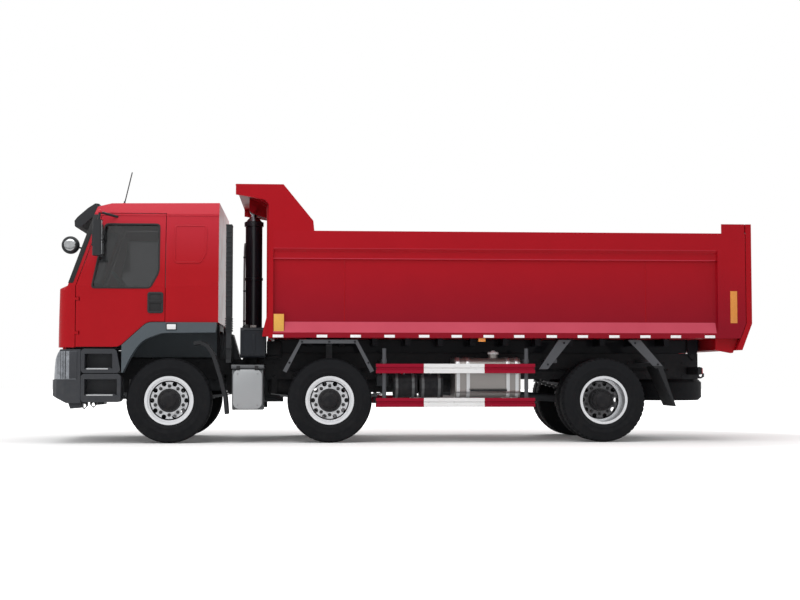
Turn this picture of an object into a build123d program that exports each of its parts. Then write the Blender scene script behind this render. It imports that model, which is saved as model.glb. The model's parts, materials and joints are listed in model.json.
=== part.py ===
from build123d import *
import math
import os

# Three-axle cab-over dump truck, built as separate named pieces.
# Millimetres. +X runs forward, +Y to the left and +Z up. The origin lies on the ground in the
# middle of the truck's length and width. A station is a distance back from the bumper's face.

# Overall
BED_WIDTH = 2500.0
CAB_WIDTH = 2440.0
MIRROR_LEAD = 200.0

# Clearances
FIT = 0.15
SEAT = 0.2
PANEL_GAP = 8.0

# Tyres and wheels
TYRE_D = 1060.0
TYRE_W = 280.0
SHOULDER = 42.0
RIM_D = 570.0
RIM_W = 210.0
FLANGE_H = 18.0
FLANGE_T = 12.0
BARREL_T = 14.0
DISC_T = 16.0
HUB_D = 270.0
HAND_HOLE_D = 58.0
HAND_HOLE_RING = 425.0
HAND_HOLES = 10
DUAL_SPACING = 320.0

# Axles
AXLE_1 = 1416.0
FRONT_BAY = 933.0
FLAP_LEAD = 204.0
BOX_R = 90.0
SIDE_BAY = 2400.0
TAIL = 1831.0
AXLE_2 = AXLE_1 + TYRE_D + FRONT_BAY
AXLE_3 = AXLE_2 + TYRE_D + SIDE_BAY
AXLE_Z = TYRE_D / 2
SINGLE_Y = 1050.0
DUAL_Y = 932.0
KINGPIN_Y = 930.0
KINGPIN_R = 25.0
BOSS_R = 55.0
BOSS_H = 100.0
LUG_H = 55.0
SPINDLE_R = 40.0
REAR_SPINDLE_R = 50.0
BEAM_W = 110.0
BEAM_H = 86.0
BEAM_DROP = 95.0
AXLE_TUBE_R = 75.0
DIFF_R = 215.0

# Frame
RAIL_FRONT = 110.0
RAIL_REAR = AXLE_3 + TAIL - 400.0
RAIL_Y = 430.0
RAIL_W = 80.0
RAIL_T = 9.0
RAIL_Z0 = 790.0
RAIL_Z1 = 1050.0
SUB_FRONT = AXLE_1 + 874.0
SUB_TOP = 1130.0
REST_S = AXLE_1 + 484.0
REST_T = 90.0
REST_H = 80.0
HINGE_S = RAIL_REAR - 80.0
HINGE_Z = 1090.0
HINGE_R = 30.0
HINGE_LUG = 70.0

# Springs
SPRING_Y = 390.0
SPRING_W = 90.0
LEAF_T = 13.0
LEAF_R = 5600.0
FRONT_LEAVES = 5
REAR_LEAVES = 9
FRONT_SPRING_L = 1500.0
REAR_SPRING_L = 1260.0

# Front end
BUMPER_LEAD = 40.0
BUMPER_T = 70.0
BUMPER_Z0 = 500.0
BUMPER_Z1 = 840.0
POD_Y = 720.0
POD_Z1 = 1165.0
LAMP_Z0 = 795.0
LAMP_Z1 = 1142.0
LAMP_S1 = 295.0
CORNER_S = 335.0
STEP_S1 = AXLE_1 - 588.0
STEP_Z0 = 512.0
STEP_Z1 = 1170.0
STEP_SPLIT = 866.0
STEP_R = 45.0
STEP_LEAN = 60.0
STEP_INNER = 960.0
STEP_DEPTH = 200.0
LAMP_ARM_Y = 980.0
LAMP_ARM_Z = 850.0
TOW_S = 260.0
TOW_Z = 450.0
TOW_R = 25.0

# Cab
CAB_FACE = 40.0
CAB_Z0 = 1188.0
COWL_S = CAB_FACE + 22.0
COWL_Z = CAB_Z0 + 724.0
SCREEN_S = 165.0
SCREEN_Z = COWL_Z + 38.0
CAB_TOP = 3010.0
ROOF_FRONT_S = 510.0
ROOF_FRONT_Z = CAB_TOP - 60.0
CROWN_S = ROOF_FRONT_S + 170.0
CROWN_Z = CAB_TOP - 14.0
CAB_BACK = AXLE_1 + 604.0
CAB_REAR_Z = 1500.0
WELL_S = AXLE_1 - 612.0
WELL_END_S = AXLE_1 - 270.0
ARCH_R = 160.0
CAB_WALL = 60.0
CAB_CORNER_R = 170.0
TUMBLEHOME = 75.0
EAVES_Z = CAB_TOP - 150.0
EAVES_IN = 95.0
ROOF_DEPTH = 138.0
FLOOR_GAP = 14.0
VISOR_HALF = 1060.0
FLARE_Y = 1040.0
MIRROR_Y = 1380.0
FRONT_MIRROR_R = 120.0
FRONT_MIRROR_Y = -450.0
ROOF_SEAM = CAB_TOP - ROOF_DEPTH
DOOR_S0 = 262.0
DOOR_S1 = 1367.0
GLASS_INSET = 22.0
GLASS_T = 6.0
TILT_S = 160.0
TILT_Z = 920.0
TILT_R = 25.0
TILT_ARM_Y = 300.0
TILT_ARM_W = 40.0
DOOR_PIN_R = 9.0
DOOR_PIN_IN = 12.0
DOOR_PIN_BACK = 32.0

# Bed
BED_S0 = CAB_BACK + 620.0
BED_S1 = AXLE_3 + TAIL
BED_Z0 = 1312.0
BED_FLOOR_T = 26.0
BED_TOP = 2650.0
BED_INNER = 1150.0
BED_BAND_Z = 2425.0
BED_RECESS = 55.0
POST_L = 359.0
POST_S = BED_S1 - POST_L
WALL_T = 60.0
CANOPY_S = CAB_BACK + 210.0
CANOPY_TOP = 3231.0
CANOPY_T = 40.0
BEAM_Y = 345.0
BED_BEAM_W = 90.0
BED_BEAM_Z = 1136.0
RIB_Y = 870.0
WELL_HALF = 190.0
WELL_DEPTH = 370.0
RIB_PITCH = 420.0
GATE_T = 72.0
GATE_PLATE_T = 30.0
GATE_Z0 = 1162.0
GATE_BEND_Z = 1500.0
GATE_TUCK = 130.0
GATE_RIB = 60.0
GATE_PIN_S = BED_S1 - 220.0
GATE_PIN_Z = BED_TOP + 65.0
GATE_PIN_R = 20.0
EAR_Y0 = 1168.0
EAR_Y1 = 1228.0
EAR_TOP = BED_TOP + 119.0
LENGTH = BED_S1 + PANEL_GAP + GATE_T
FRONT_X = (LENGTH - MIRROR_LEAD) / 2
REACH = LENGTH

# Hoist
HOIST_S = CAB_BACK + 392.0
TRUNNION_Z = 1300.0
TRUNNION_R = 35.0
EYE_Z = 3050.0
EYE_R = 68.0
EYE_CHEEK_Y = 62.0
BARREL_R = 112.0
STAGE_WALL = 14.5
STAGE_CLEAR = 0.5
BARREL_TOP = 2890.0
STAGES = 3


def x_at(station):
    """Place along X of a station."""
    return FRONT_X - station


def block(s0, s1, y0, y1, z0, z1):
    """A box between two stations, two sides and two heights."""
    middle = ((x_at(s0) + x_at(s1)) / 2, (y0 + y1) / 2, (z0 + z1) / 2)
    return Pos(*middle) * Box(s1 - s0, y1 - y0, z1 - z0)


def side_face(points, y=0.0):
    """A face drawn in side view, from (station, height) points."""
    return make_face(Polyline(*[(x_at(s), y, z) for s, z in points], close=True))


def side_plate(points, y0, y1):
    """A side-view outline made solid from y0 to y1."""
    return extrude(side_face(points, y0), amount=y1 - y0, dir=(0, 1, 0))


def section_bar(points, s0, s1):
    """A cross-section of (y, z) points made solid between two stations."""
    face = make_face(Polyline(*[(x_at(s1), y, z) for y, z in points], close=True))
    return extrude(face, amount=s1 - s0, dir=(1, 0, 0))


def rod(start, end, radius):
    """A round bar between two points of (station, y, z)."""
    first = Vector(x_at(start[0]), start[1], start[2])
    last = Vector(x_at(end[0]), end[1], end[2])
    run = last - first
    return extrude(Plane(origin=first, z_dir=run) * Circle(radius), amount=run.length)


def cross_pin(s, z, y0, y1, radius):
    """A round bar along Y."""
    return rod((s, y0, z), (s, y1, z), radius)


def other_side(shape):
    """The same shape on the truck's right side."""
    return mirror(shape, about=Plane.XZ)


def pair(shape):
    """A shape with its twin on the right side."""
    return shape + other_side(shape)


def band(points, width):
    """A closed strip of the given width inside an open (station, height) line, as outline points."""
    inner = []
    for index, (s, z) in enumerate(points):
        before = points[max(index - 1, 0)]
        after = points[min(index + 1, len(points) - 1)]
        ds = after[0] - before[0]
        dz = after[1] - before[1]
        run = math.hypot(ds, dz)
        inner.append((s + width * dz / run, z - width * ds / run))
    return points + inner[::-1]


# Wheels and tyres
def tyre(middle):
    """A tyre about the Y axis: cone flanks and shoulders that run into the tread."""
    outer = TYRE_D / 2
    inner = RIM_D / 2 + SEAT
    half = TYRE_W / 2
    bead = RIM_W / 2 - SEAT
    upper = [(inner, bead), (inner + FLANGE_H, bead), (outer - SHOULDER, half), (outer, half - SHOULDER)]
    lower = [(r, -y) for r, y in reversed(upper)]
    face = make_face(Polyline(*[(r, middle + y) for r, y in upper + lower], close=True))
    return revolve(face, axis=Axis.Y)


def rim(middle):
    """A rim's barrel with its two flanges, about the Y axis."""
    seat = RIM_D / 2
    half = RIM_W / 2
    edge = half + FLANGE_T
    inner = seat - BARREL_T
    upper = [(inner, edge), (seat + FLANGE_H, edge), (seat + FLANGE_H, half), (seat, half)]
    lower = [(r, -y) for r, y in reversed(upper)]
    face = make_face(Polyline(*[(r, middle + y) for r, y in upper + lower], close=True))
    return revolve(face, axis=Axis.Y)


def round_piece(y0, y1, outer, inner=0.0):
    """A disc or ring about the Y axis."""
    piece = extrude(Plane.XZ * Circle(outer), amount=-(y1 - y0))
    if inner:
        piece -= extrude(Plane.XZ * Circle(inner), amount=-(y1 - y0))
    return Pos(0, y0, 0) * piece


def hand_holes(y0, y1):
    """The ring of holes through a wheel's disc."""
    hole = round_piece(y0, y1, HAND_HOLE_D / 2)
    step = 360 / HAND_HOLES
    return [Rot(0, index * step, 0) * Pos(HAND_HOLE_RING / 2, 0, 0) * hole for index in range(HAND_HOLES)]


def single_wheel():
    """A steered wheel about its own centre: rim, bulged disc and long hub on the outer side."""
    disc_y = 62.0
    inner = RIM_D / 2 - BARREL_T
    wheel = rim(0) + round_piece(disc_y - DISC_T, disc_y, inner + 1)
    wheel -= hand_holes(disc_y - DISC_T - 1, disc_y + 1)
    wheel += round_piece(-28, disc_y + 62, HUB_D / 2)
    wheel += round_piece(disc_y + 62, disc_y + 84, HUB_D / 2 - 30)
    bore_end = disc_y + 40
    return wheel - round_piece(-30, bore_end, SPINDLE_R + FIT)


def twin_wheel():
    """The two rims of the driven axle's wheel, their discs bolted back to back, and the hub."""
    inner = RIM_D / 2 - BARREL_T
    half = DUAL_SPACING / 2
    wheel = rim(half) + rim(-half)
    gap = half - RIM_W / 2 - FLANGE_T
    wheel += round_piece(-gap - 1, gap + 1, inner + BARREL_T, inner)
    wheel += round_piece(-DISC_T, DISC_T, inner + 1)
    wheel -= hand_holes(-DISC_T - 1, DISC_T + 1)
    wheel += round_piece(-90, 185, HUB_D / 2)
    wheel += round_piece(185, 215, HUB_D / 2 - 35)
    return wheel - round_piece(-91, 150, REAR_SPINDLE_R + FIT)


def on_axle(shape, station, y):
    """Move a left-hand piece out to its axle."""
    return Pos(x_at(station), y, AXLE_Z) * shape


def add_wheels(nodes):
    """Six wheels, each with its tyre or its pair of tyres."""
    half = DUAL_SPACING / 2
    twin_tyre = tyre(half) + tyre(-half)
    # columns: number, station, centre across, wheel, tyre
    table = [
        (1, AXLE_1, SINGLE_Y, single_wheel(), tyre(0)),
        (2, AXLE_2, SINGLE_Y, single_wheel(), tyre(0)),
        (3, AXLE_3, DUAL_Y, twin_wheel(), twin_tyre),
    ]
    for number, station, y, wheel, rubber in table:
        for kind, piece in (("wheel", wheel), ("tyre", rubber)):
            left = on_axle(piece, station, y)
            nodes[f"{kind}_{number}_left"] = left
            nodes[f"{kind}_{number}_right"] = other_side(left)


# Axles, knuckles and springs
def knuckle(station):
    """A steered stub: two lugs round the kingpin, a plate outboard of it and the wheel's spindle."""
    lug = BOSS_H / 2 + SEAT
    top = lug + LUG_H
    plate_y = BOSS_R + 6
    piece = Pos(0, plate_y + 12, 0) * Box(96, 24, 2 * top)
    for z in (lug, -top):
        piece += Pos(0, 0, z) * extrude(Circle(46), amount=LUG_H)
        piece += Pos(0, plate_y / 2 + 6, z + LUG_H / 2) * Box(92, plate_y + 12, LUG_H)
    piece -= Pos(0, 0, -top - 1) * extrude(Circle(KINGPIN_R + FIT), amount=2 * top + 2)
    spindle_l = SINGLE_Y - KINGPIN_Y - plate_y + 90
    piece += Pos(0, plate_y, 0) * round_piece(0, spindle_l, SPINDLE_R)
    return Pos(x_at(station), KINGPIN_Y, AXLE_Z) * piece


def steered_beam(station):
    """A dropped beam with a boss and a kingpin at each end."""
    low = AXLE_Z - BEAM_DROP
    half = BEAM_H / 2
    neck = KINGPIN_Y - 2 * BOSS_R
    right = [(bend_y, z) for bend_y, z in ((neck - 250, low), (neck, AXLE_Z), (KINGPIN_Y, AXLE_Z))]
    line = [(-y, z) for y, z in reversed(right)] + right
    upper = [(y, z + half) for y, z in line]
    lower = [(y, z - half) for y, z in reversed(line)]
    beam = section_bar(upper + lower, station - BEAM_W / 2, station + BEAM_W / 2)
    pin_l = BOSS_H + 2 * LUG_H + 8
    for side in (1, -1):
        centre = Pos(x_at(station), side * KINGPIN_Y, AXLE_Z)
        beam += centre * Cylinder(BOSS_R, BOSS_H)
        beam += centre * Cylinder(KINGPIN_R, pin_l)
    for side in (1, -1):
        seat = low + half
        y = side * SPRING_Y
        beam += block(station - 90, station + 90, y - 60, y + 60, seat - 30, seat + 16)
    return beam


def driven_axle():
    """Axle tube with its bowl, spring pads and the two spindles."""
    end = DUAL_Y - 110
    axle = round_piece(-end, end, AXLE_TUBE_R)
    axle += Sphere(DIFF_R)
    axle += Pos(DIFF_R - 20, 0, 0) * Rot(0, 90, 0) * Cylinder(95, 120)
    spindle = round_piece(end, DUAL_Y + 140, REAR_SPINDLE_R)
    axle += pair(spindle)
    pad_z = AXLE_TUBE_R + 8
    pad = Pos(0, SPRING_Y, pad_z - 30) * Box(180, 120, 60)
    axle += pair(pad)
    return Pos(x_at(AXLE_3), 0, AXLE_Z) * axle


def spring(station, seat_z, leaves, length):
    """A stack of bowed leaves, each shorter than the one above it, with the clamp at its middle."""
    top = leaves * LEAF_T
    centre_z = seat_z + LEAF_R
    stack = None
    for index in range(leaves):
        half = length / 2 * (1 - 0.78 * index / leaves)
        outer = LEAF_R - top + (index + 1) * LEAF_T
        ring = Cylinder(outer, SPRING_W) - Cylinder(outer - LEAF_T, SPRING_W)
        leaf = Pos(x_at(station), SPRING_Y, centre_z) * Rot(90, 0, 0) * ring
        leaf &= block(station - half, station + half, 0, 2 * SPRING_Y, seat_z, seat_z + LEAF_R / 2)
        stack = leaf if stack is None else stack + leaf
    clamp = block(station - 62, station + 62, SPRING_Y - 52, SPRING_Y + 52, seat_z, seat_z + top + 18)
    return stack + clamp


def spring_end_z(seat_z, leaves, length):
    """Height of the main leaf's upper face at the spring's end."""
    top_r = LEAF_R - leaves * LEAF_T
    return seat_z + LEAF_R - math.sqrt(top_r ** 2 - (length / 2) ** 2)


def spring_table():
    """Rows of station, seat height, leaves and length, one for each axle's springs."""
    front_seat = AXLE_Z - BEAM_DROP + BEAM_H / 2 + 16
    rear_seat = AXLE_Z + AXLE_TUBE_R + 8
    return [
        (AXLE_1, front_seat, FRONT_LEAVES, FRONT_SPRING_L),
        (AXLE_2, front_seat, FRONT_LEAVES, FRONT_SPRING_L),
        (AXLE_3, rear_seat, REAR_LEAVES, REAR_SPRING_L),
    ]


def add_axles(nodes):
    """Axles, the four steered stubs and the springs."""
    nodes["axles"] = steered_beam(AXLE_1) + steered_beam(AXLE_2) + driven_axle()
    for number, station in ((1, AXLE_1), (2, AXLE_2)):
        left = knuckle(station)
        nodes[f"knuckle_{number}_left"] = left
        nodes[f"knuckle_{number}_right"] = other_side(left)
    springs = [pair(spring(*row)) for row in spring_table()]
    nodes["leaf_springs"] = springs[0] + springs[1] + springs[2]


# Frame
def rail():
    """The left C-shaped rail, its web on the outer side."""
    inner = RAIL_Y - RAIL_W
    web = RAIL_Y - RAIL_T
    low = RAIL_Z0 + RAIL_T
    high = RAIL_Z1 - RAIL_T
    points = [(inner, RAIL_Z0), (RAIL_Y, RAIL_Z0), (RAIL_Y, RAIL_Z1), (inner, RAIL_Z1)]
    points += [(inner, high), (web, high), (web, low), (inner, low)]
    return section_bar(points, RAIL_FRONT, RAIL_REAR)


def spring_hangers():
    """Brackets under the left rail that the springs' ends bear on."""
    hangers = []
    for station, seat_z, leaves, length in spring_table():
        foot = spring_end_z(seat_z, leaves, length) + SEAT
        for side in (1, -1):
            middle = station + side * (length / 2 - 40)
            hangers.append(block(middle - 35, middle + 35, RAIL_Y - RAIL_W, RAIL_Y, foot, RAIL_Z0))
    return hangers


def tow_lug(station, z, root_z):
    """A pair of lugs with a cross hole for a towing pin, hung from root_z."""
    half = 45.0
    lug = side_plate([(station - half, root_z), (station + half, root_z), (station + half, z),
                      (station, z - half), (station - half, z)], SPRING_Y - 20, SPRING_Y + 20)
    return lug - cross_pin(station, z, SPRING_Y - 30, SPRING_Y + 30, TOW_R)


def rear_lug():
    """A lug with a cross hole, on the left rail's lower flange and out behind its end."""
    s = RAIL_REAR + 50
    z = RAIL_Z0 + RAIL_T + SEAT + 45
    lug = side_plate([(RAIL_REAR - 60, z - 45), (s, z - 45), (s + 42, z - 20), (s + 42, z + 20), (s, z + 45),
                      (RAIL_REAR - 60, z + 45)], SPRING_Y - 20, SPRING_Y + 20)
    return lug - cross_pin(s, z, SPRING_Y - 30, SPRING_Y + 30, TOW_R)


def frame():
    """Rails, cross members, spring hangers and the cab's tilt pins."""
    web = RAIL_Y - RAIL_T
    left = rail()
    for hanger in spring_hangers():
        left += hanger
    left += cross_pin(TILT_S, TILT_Z, TILT_ARM_Y - 8, web + 2, TILT_R)
    whole = pair(left)
    side_bay = AXLE_2 + TYRE_D / 2
    stations = [RAIL_FRONT + 410, BED_S0 + 140, side_bay, side_bay + SIDE_BAY / 2, AXLE_3 - 669, AXLE_3 + 691]
    for station in stations + [RAIL_REAR - 120]:
        whole += block(station - 45, station + 45, -web - 1, web + 1, RAIL_Z1 - 190, RAIL_Z1 - 30)
    return whole


def cab_rest():
    """Two posts on the rails and the beam across them that the cab's rear lies on."""
    rear = REST_S + REST_T
    post = block(REST_S, rear, RAIL_Y - RAIL_W, RAIL_Y, RAIL_Z1 + SEAT, CAB_REAR_Z - REST_H + 1)
    return pair(post) + block(REST_S, rear, -RAIL_Y, RAIL_Y, CAB_REAR_Z - REST_H, CAB_REAR_Z - SEAT)


def subframe():
    """Long box members on the rails, the hoist's trunnion stand and the bed's hinge pins."""
    inner = RAIL_Y - RAIL_W
    left = block(SUB_FRONT, RAIL_REAR, inner, RAIL_Y, RAIL_Z1, SUB_TOP)
    left += cross_pin(HINGE_S, HINGE_Z, inner + 10, RAIL_Y + 56, HINGE_R)
    cheek_y = BARREL_R + 20
    cheek = side_plate([(HOIST_S - 110, RAIL_Z1), (HOIST_S + 110, RAIL_Z1), (HOIST_S + 60, TRUNNION_Z + 20),
                        (HOIST_S + 35, TRUNNION_Z + 60), (HOIST_S - 35, TRUNNION_Z + 60),
                        (HOIST_S - 60, TRUNNION_Z + 20)], cheek_y, cheek_y + 36)
    left += cheek - cross_pin(HOIST_S, TRUNNION_Z, cheek_y - 5, cheek_y + 45, TRUNNION_R + FIT)
    whole = pair(left)
    span = RAIL_REAR - SUB_FRONT
    for station in (HOIST_S, SUB_FRONT + span / 3, SUB_FRONT + span * 0.62, AXLE_3 + 131, RAIL_REAR - 500):
        whole += block(station - 60, station + 60, -RAIL_Y, RAIL_Y, RAIL_Z1, SUB_TOP - 20)
    return whole


def engine_block():
    """Engine and gearbox as one plain block, carried on feet between the rails."""
    foot_z = RAIL_Z0 + 100
    inner = RAIL_Y - RAIL_W
    side = [(1130, 640), (2150, 640), (2260, 650), (2700, 680), (2700, 880), (2260, 1000), (2150, 1380), (1130, 1380)]
    whole = side_plate(side, -200, 200)
    whole += block(1130, 2150, -300, 300, 660, 1360)
    for station in (1300, 2000):
        foot = block(station - 60, station + 60, 290, inner, RAIL_Z0 - 40, foot_z)
        whole += pair(foot)
    return whole


def propeller_shaft():
    """The tube from the gearbox to the driven axle, with a flange at each end."""
    front = (2700, 0, 770)
    rear = (AXLE_3 - DIFF_R - 40 - SEAT, 0, AXLE_Z)
    shaft = rod(front, rear, 55)
    shaft += rod(front, (2730, 0, 768), 85)
    keep = block(2700 + SEAT, AXLE_3 - DIFF_R - 40 - SEAT, -120, 120, 300, 1100)
    return shaft & keep


def add_frame(nodes):
    """The load-bearing underside."""
    nodes["frame"] = frame()
    nodes["cab_rest"] = cab_rest()
    nodes["tow_lugs"] = pair(tow_lug(TOW_S, TOW_Z, RAIL_Z0 - SEAT)) + pair(rear_lug())
    nodes["subframe"] = subframe()
    nodes["drive_line"] = engine_block() + propeller_shaft()


# Front end
def bumper_plan(inset, z):
    """The bumper's plan view, open at the back, drawn in by inset."""
    half = CAB_WIDTH / 2 - inset
    front = inset - BUMPER_LEAD
    left = [(front, half - 240), (front + 22, half - 140), (front + 75, half - 60), (front + 170, half - 12)]
    left.append((CORNER_S, half))
    right = [(s, -y) for s, y in reversed(left)]
    points = [Vector(x_at(s), y, z) for s, y in left + right]
    return make_face(Polyline(*points, close=True))


def pod_front(inset):
    """Everything ahead of the pods' bowed front, which starts at the bumper's upper edge."""
    line = [(-2, LAMP_Z0 - 8), (6, LAMP_Z0 + 135), (20, LAMP_Z0 + 245), (48, LAMP_Z0 + 315), (85, POD_Z1 + 1)]
    points = [(s + inset, z) for s, z in line] + [(-REACH, POD_Z1 + 1), (-REACH, LAMP_Z0 - 8)]
    return side_plate(points, -CAB_WIDTH, CAB_WIDTH)


def front_bumper():
    """The wrapped bumper with a raised pod at each end that frames a headlamp."""
    outside = extrude(bumper_plan(0, BUMPER_Z0), amount=POD_Z1 - BUMPER_Z0)
    inside = extrude(bumper_plan(BUMPER_T, BUMPER_Z0), amount=POD_Z1 - BUMPER_Z0)
    shell = outside - inside
    shell -= block(-REACH, CORNER_S, -POD_Y, POD_Y, BUMPER_Z1, POD_Z1 + 10)
    shell -= pod_front(0)
    chin = [(-REACH, BUMPER_Z0 - 1), (CORNER_S / 2, BUMPER_Z0 - 1), (-BUMPER_LEAD, BUMPER_Z0 + 100)]
    chin.append((-REACH, BUMPER_Z0 + 100))
    shell -= side_plate(chin, -CAB_WIDTH, CAB_WIDTH)
    back = BUMPER_T - BUMPER_LEAD
    shell += block(back - 5, RAIL_FRONT, -RAIL_Y, RAIL_Y, BUMPER_Z0 + 110, BUMPER_Z1 - 20)
    return shell - pair(lamp_pocket(0))


def lamp_pocket(inset):
    """The space of the left headlamp, drawn in by inset."""
    points = [(-REACH, LAMP_Z0 + inset), (LAMP_S1 - 12 - inset, LAMP_Z0 + inset), (LAMP_S1 - inset, LAMP_Z1 - inset),
              (-REACH, LAMP_Z1 - inset)]
    return side_plate(points, POD_Y + 60 + inset, CAB_WIDTH)


def headlamps():
    """The two lamps, which wrap the corner with their lenses level with the pods."""
    hull = extrude(bumper_plan(SEAT, BUMPER_Z0), amount=POD_Z1 - BUMPER_Z0)
    hull -= extrude(bumper_plan(BUMPER_T, BUMPER_Z0), amount=POD_Z1 - BUMPER_Z0)
    return pair((lamp_pocket(SEAT) & hull) - pod_front(SEAT))


def step_box(lean, z0, z1, low, high):
    """One rounded step box, its rear edge leaning forward by lean, and the recess that holds its tread."""
    s0 = CORNER_S + 4
    outer = CAB_WIDTH / 2
    face = side_face([(s0, z0), (STEP_S1, z0), (STEP_S1 - lean, z1), (s0, z1)], STEP_INNER)
    box = extrude(fillet(face.vertices(), STEP_R), amount=outer - STEP_INNER, dir=(0, 1, 0))
    return box - block(s0 + STEP_R, STEP_S1 - STEP_R - lean, outer - STEP_DEPTH, outer + 1, low, high)


def step_unit():
    """The left pair of cab steps: two moulded boxes, the plate behind them and its bracket."""
    s0 = CORNER_S + 4
    lower = step_box(0, STEP_Z0, STEP_SPLIT - 5, STEP_Z0 + 85, STEP_SPLIT - 70)
    upper = step_box(STEP_LEAN, STEP_SPLIT + 5, STEP_Z1, STEP_SPLIT + 55, STEP_Z1 - 60)
    back = block(s0 + 60, STEP_S1 - 60 - STEP_LEAN, STEP_INNER - 12, STEP_INNER + 1, STEP_Z0 + 60, STEP_Z1 - 60)
    arm = block(s0 + 60, s0 + 140, RAIL_Y, STEP_INNER, RAIL_Z0 + 20, RAIL_Z0 + 100)
    return lower + upper + back + arm


def add_front_end(nodes):
    """Bumper, lamps and steps."""
    nodes["front_bumper"] = front_bumper()
    nodes["headlamps"] = headlamps()
    nodes["cab_steps"] = pair(step_unit())


# Pieces carried on the frame's sides
def rounded_tank(s0, s1, y0, y1, z0, z1, radius):
    """A long tank of rounded section."""
    middle = Vector(x_at(s1), (y0 + y1) / 2, (z0 + z1) / 2)
    plane = Plane(origin=middle, x_dir=(0, 1, 0), z_dir=(1, 0, 0))
    return extrude(plane * RectangleRounded(y1 - y0, z1 - z0, radius), amount=s1 - s0)


def along_bay(fraction):
    """A station in the gap between the second and third wheels, as a fraction of that gap."""
    return AXLE_2 + TYRE_D / 2 + fraction * SIDE_BAY


def behind_cab(fraction):
    """A station between the front mudguard's flap and the second wheel, as a fraction of that gap."""
    flap = AXLE_1 + TYRE_D / 2 + FLAP_LEAD
    return flap + fraction * (AXLE_2 - TYRE_D / 2 - flap)


def fuel_tank():
    """The left tank with its two straps, their brackets and the filler."""
    y0, y1, z0, z1, radius = 500.0, 1130.0, 562.0, 1062.0, 120.0
    tank = rounded_tank(along_bay(0.438), along_bay(0.784), y0, y1, z0, z1, radius)
    for station in (along_bay(0.509), along_bay(0.717)):
        tank += rounded_tank(station - 30, station + 30, y0 - 6, y1 + 6, z0 - 6, z1 + 6, radius + 6)
        tank += block(station - 30, station + 30, RAIL_Y, y0 + 1, RAIL_Z0 + 20, RAIL_Z1 - 20)
    filler = Pos(x_at(along_bay(0.649)), y1 - 200, z1 + 20) * Cylinder(60, 60)
    return tank + filler


def battery_box():
    """The light box behind the front wheel, with a lid that overhangs it."""
    s0 = behind_cab(0.06)
    s1 = behind_cab(0.585)
    middle = (s0 + s1) / 2
    box = rounded_tank(s0, s1, 560, 1180, 412, 940, BOX_R)
    lid = rounded_tank(s0 - 10, s1 + 10, 550, 1190, 925, 975, 24)
    bracket = block(middle - 55, middle + 55, RAIL_Y, 561, RAIL_Z0 + 20, RAIL_Z1 - 120)
    return box + lid + bracket


def hydraulic_tank():
    """The dark oil box that stands on brackets behind the cab."""
    s0 = CAB_BACK + 270
    box = rounded_tank(s0, s0 + 310, 560, 1150, 1063, 1440, 50)
    bracket = block(s0 + 90, s0 + 190, RAIL_Y, 561, RAIL_Z1 - 60, RAIL_Z1 + 60)
    return box + bracket


def air_tanks():
    """Two air drums in line on one bracket."""
    drums = None
    for first, last in ((0.117, 0.242), (0.255, 0.38)):
        s0 = along_bay(first)
        s1 = along_bay(last)
        drum = rod((s0, 860, 710), (s1, 860, 710), 150)
        bracket = block((s0 + s1) / 2 - 30, (s0 + s1) / 2 + 30, RAIL_Y, 860, 800, 870)
        both = drum + bracket
        drums = both if drums is None else drums + both
    return drums


def silencer():
    """The exhaust box on the right side, with its outlet pipe."""
    s0 = behind_cab(0.125)
    s1 = behind_cab(0.885)
    middle = (s0 + s1) / 2
    box = other_side(rounded_tank(s0, s1, 540, 1100, 480, 960, BOX_R))
    box += other_side(block(middle - 50, middle + 50, RAIL_Y, 541, RAIL_Z0 + 20, RAIL_Z1 - 120))
    return box + rod((middle, -820, 481), (middle, -820, 400), 60)


def side_guard():
    """The left guard: two long rails of folded section on two posts."""
    outer = 1230.0
    guard = None
    for z0, z1 in ((446, 559), (869, 987)):
        third = (z1 - z0) / 3
        points = [(outer - 30, z0), (outer, z0), (outer, z0 + third), (outer - 14, z0 + third + 8)]
        points += [(outer - 14, z1 - third - 8), (outer, z1 - third), (outer, z1), (outer - 30, z1)]
        bar = section_bar(points, along_bay(0.0188), along_bay(0.855))
        guard = bar if guard is None else guard + bar
    for station in (along_bay(0.0629), along_bay(0.811)):
        post = rod((station, outer - 50, 446), (station, outer - 50, 1180), 25)
        arm = block(station - 30, station + 30, RAIL_Y, outer - 40, 1000, 1044)
        guard += post + arm
    return guard


def spare_wheel():
    """The spare lying flat under the rails' tail."""
    middle = RAIL_REAR - 383.0
    wheel = tyre(0) + rim(0) + round_piece(-DISC_T, 0, RIM_D / 2 - BARREL_T + 1, HUB_D / 2)
    return Pos(x_at(middle), 0, RAIL_Z0 - SEAT - TYRE_W / 2) * Rot(90, 0, 0) * wheel


def rear_lamp_bar():
    """An arm out from each rail's tail with a lamp housing on its rear face."""
    rear = RAIL_REAR - 120
    arm = block(rear - 30, rear, RAIL_Y, LAMP_ARM_Y, LAMP_ARM_Z, LAMP_ARM_Z + 100)
    arm += block(rear, rear + 20, LAMP_ARM_Y - 340, LAMP_ARM_Y, LAMP_ARM_Z + 5, LAMP_ARM_Z + 95)
    return pair(arm)


def intake_stack():
    """The tall air intake behind the cab, its bellows, and the foot that carries it."""
    y0, y1 = 900.0, 1120.0
    s0 = CAB_BACK + 86
    s1 = s0 + 74
    stack = block(s0, s1, y0, y1, 1575, CAB_TOP - 273)
    for index in range(6):
        z = 1395 + index * 30
        stack += block(s0 - 6, s1 + 6, y0 - 6, y1 + 6, z, z + 18)
    stack += block(s0 + 6, s1 - 6, y0 + 8, y1 - 8, 1180, 1580)
    stack += block(s0 + 6, s1 - 6, RAIL_Y, y1 - 8, 1000, 1044)
    return stack + block(s0 + 6, s1 - 6, y0 + 60, y1 - 60, 1040, 1190)


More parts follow.
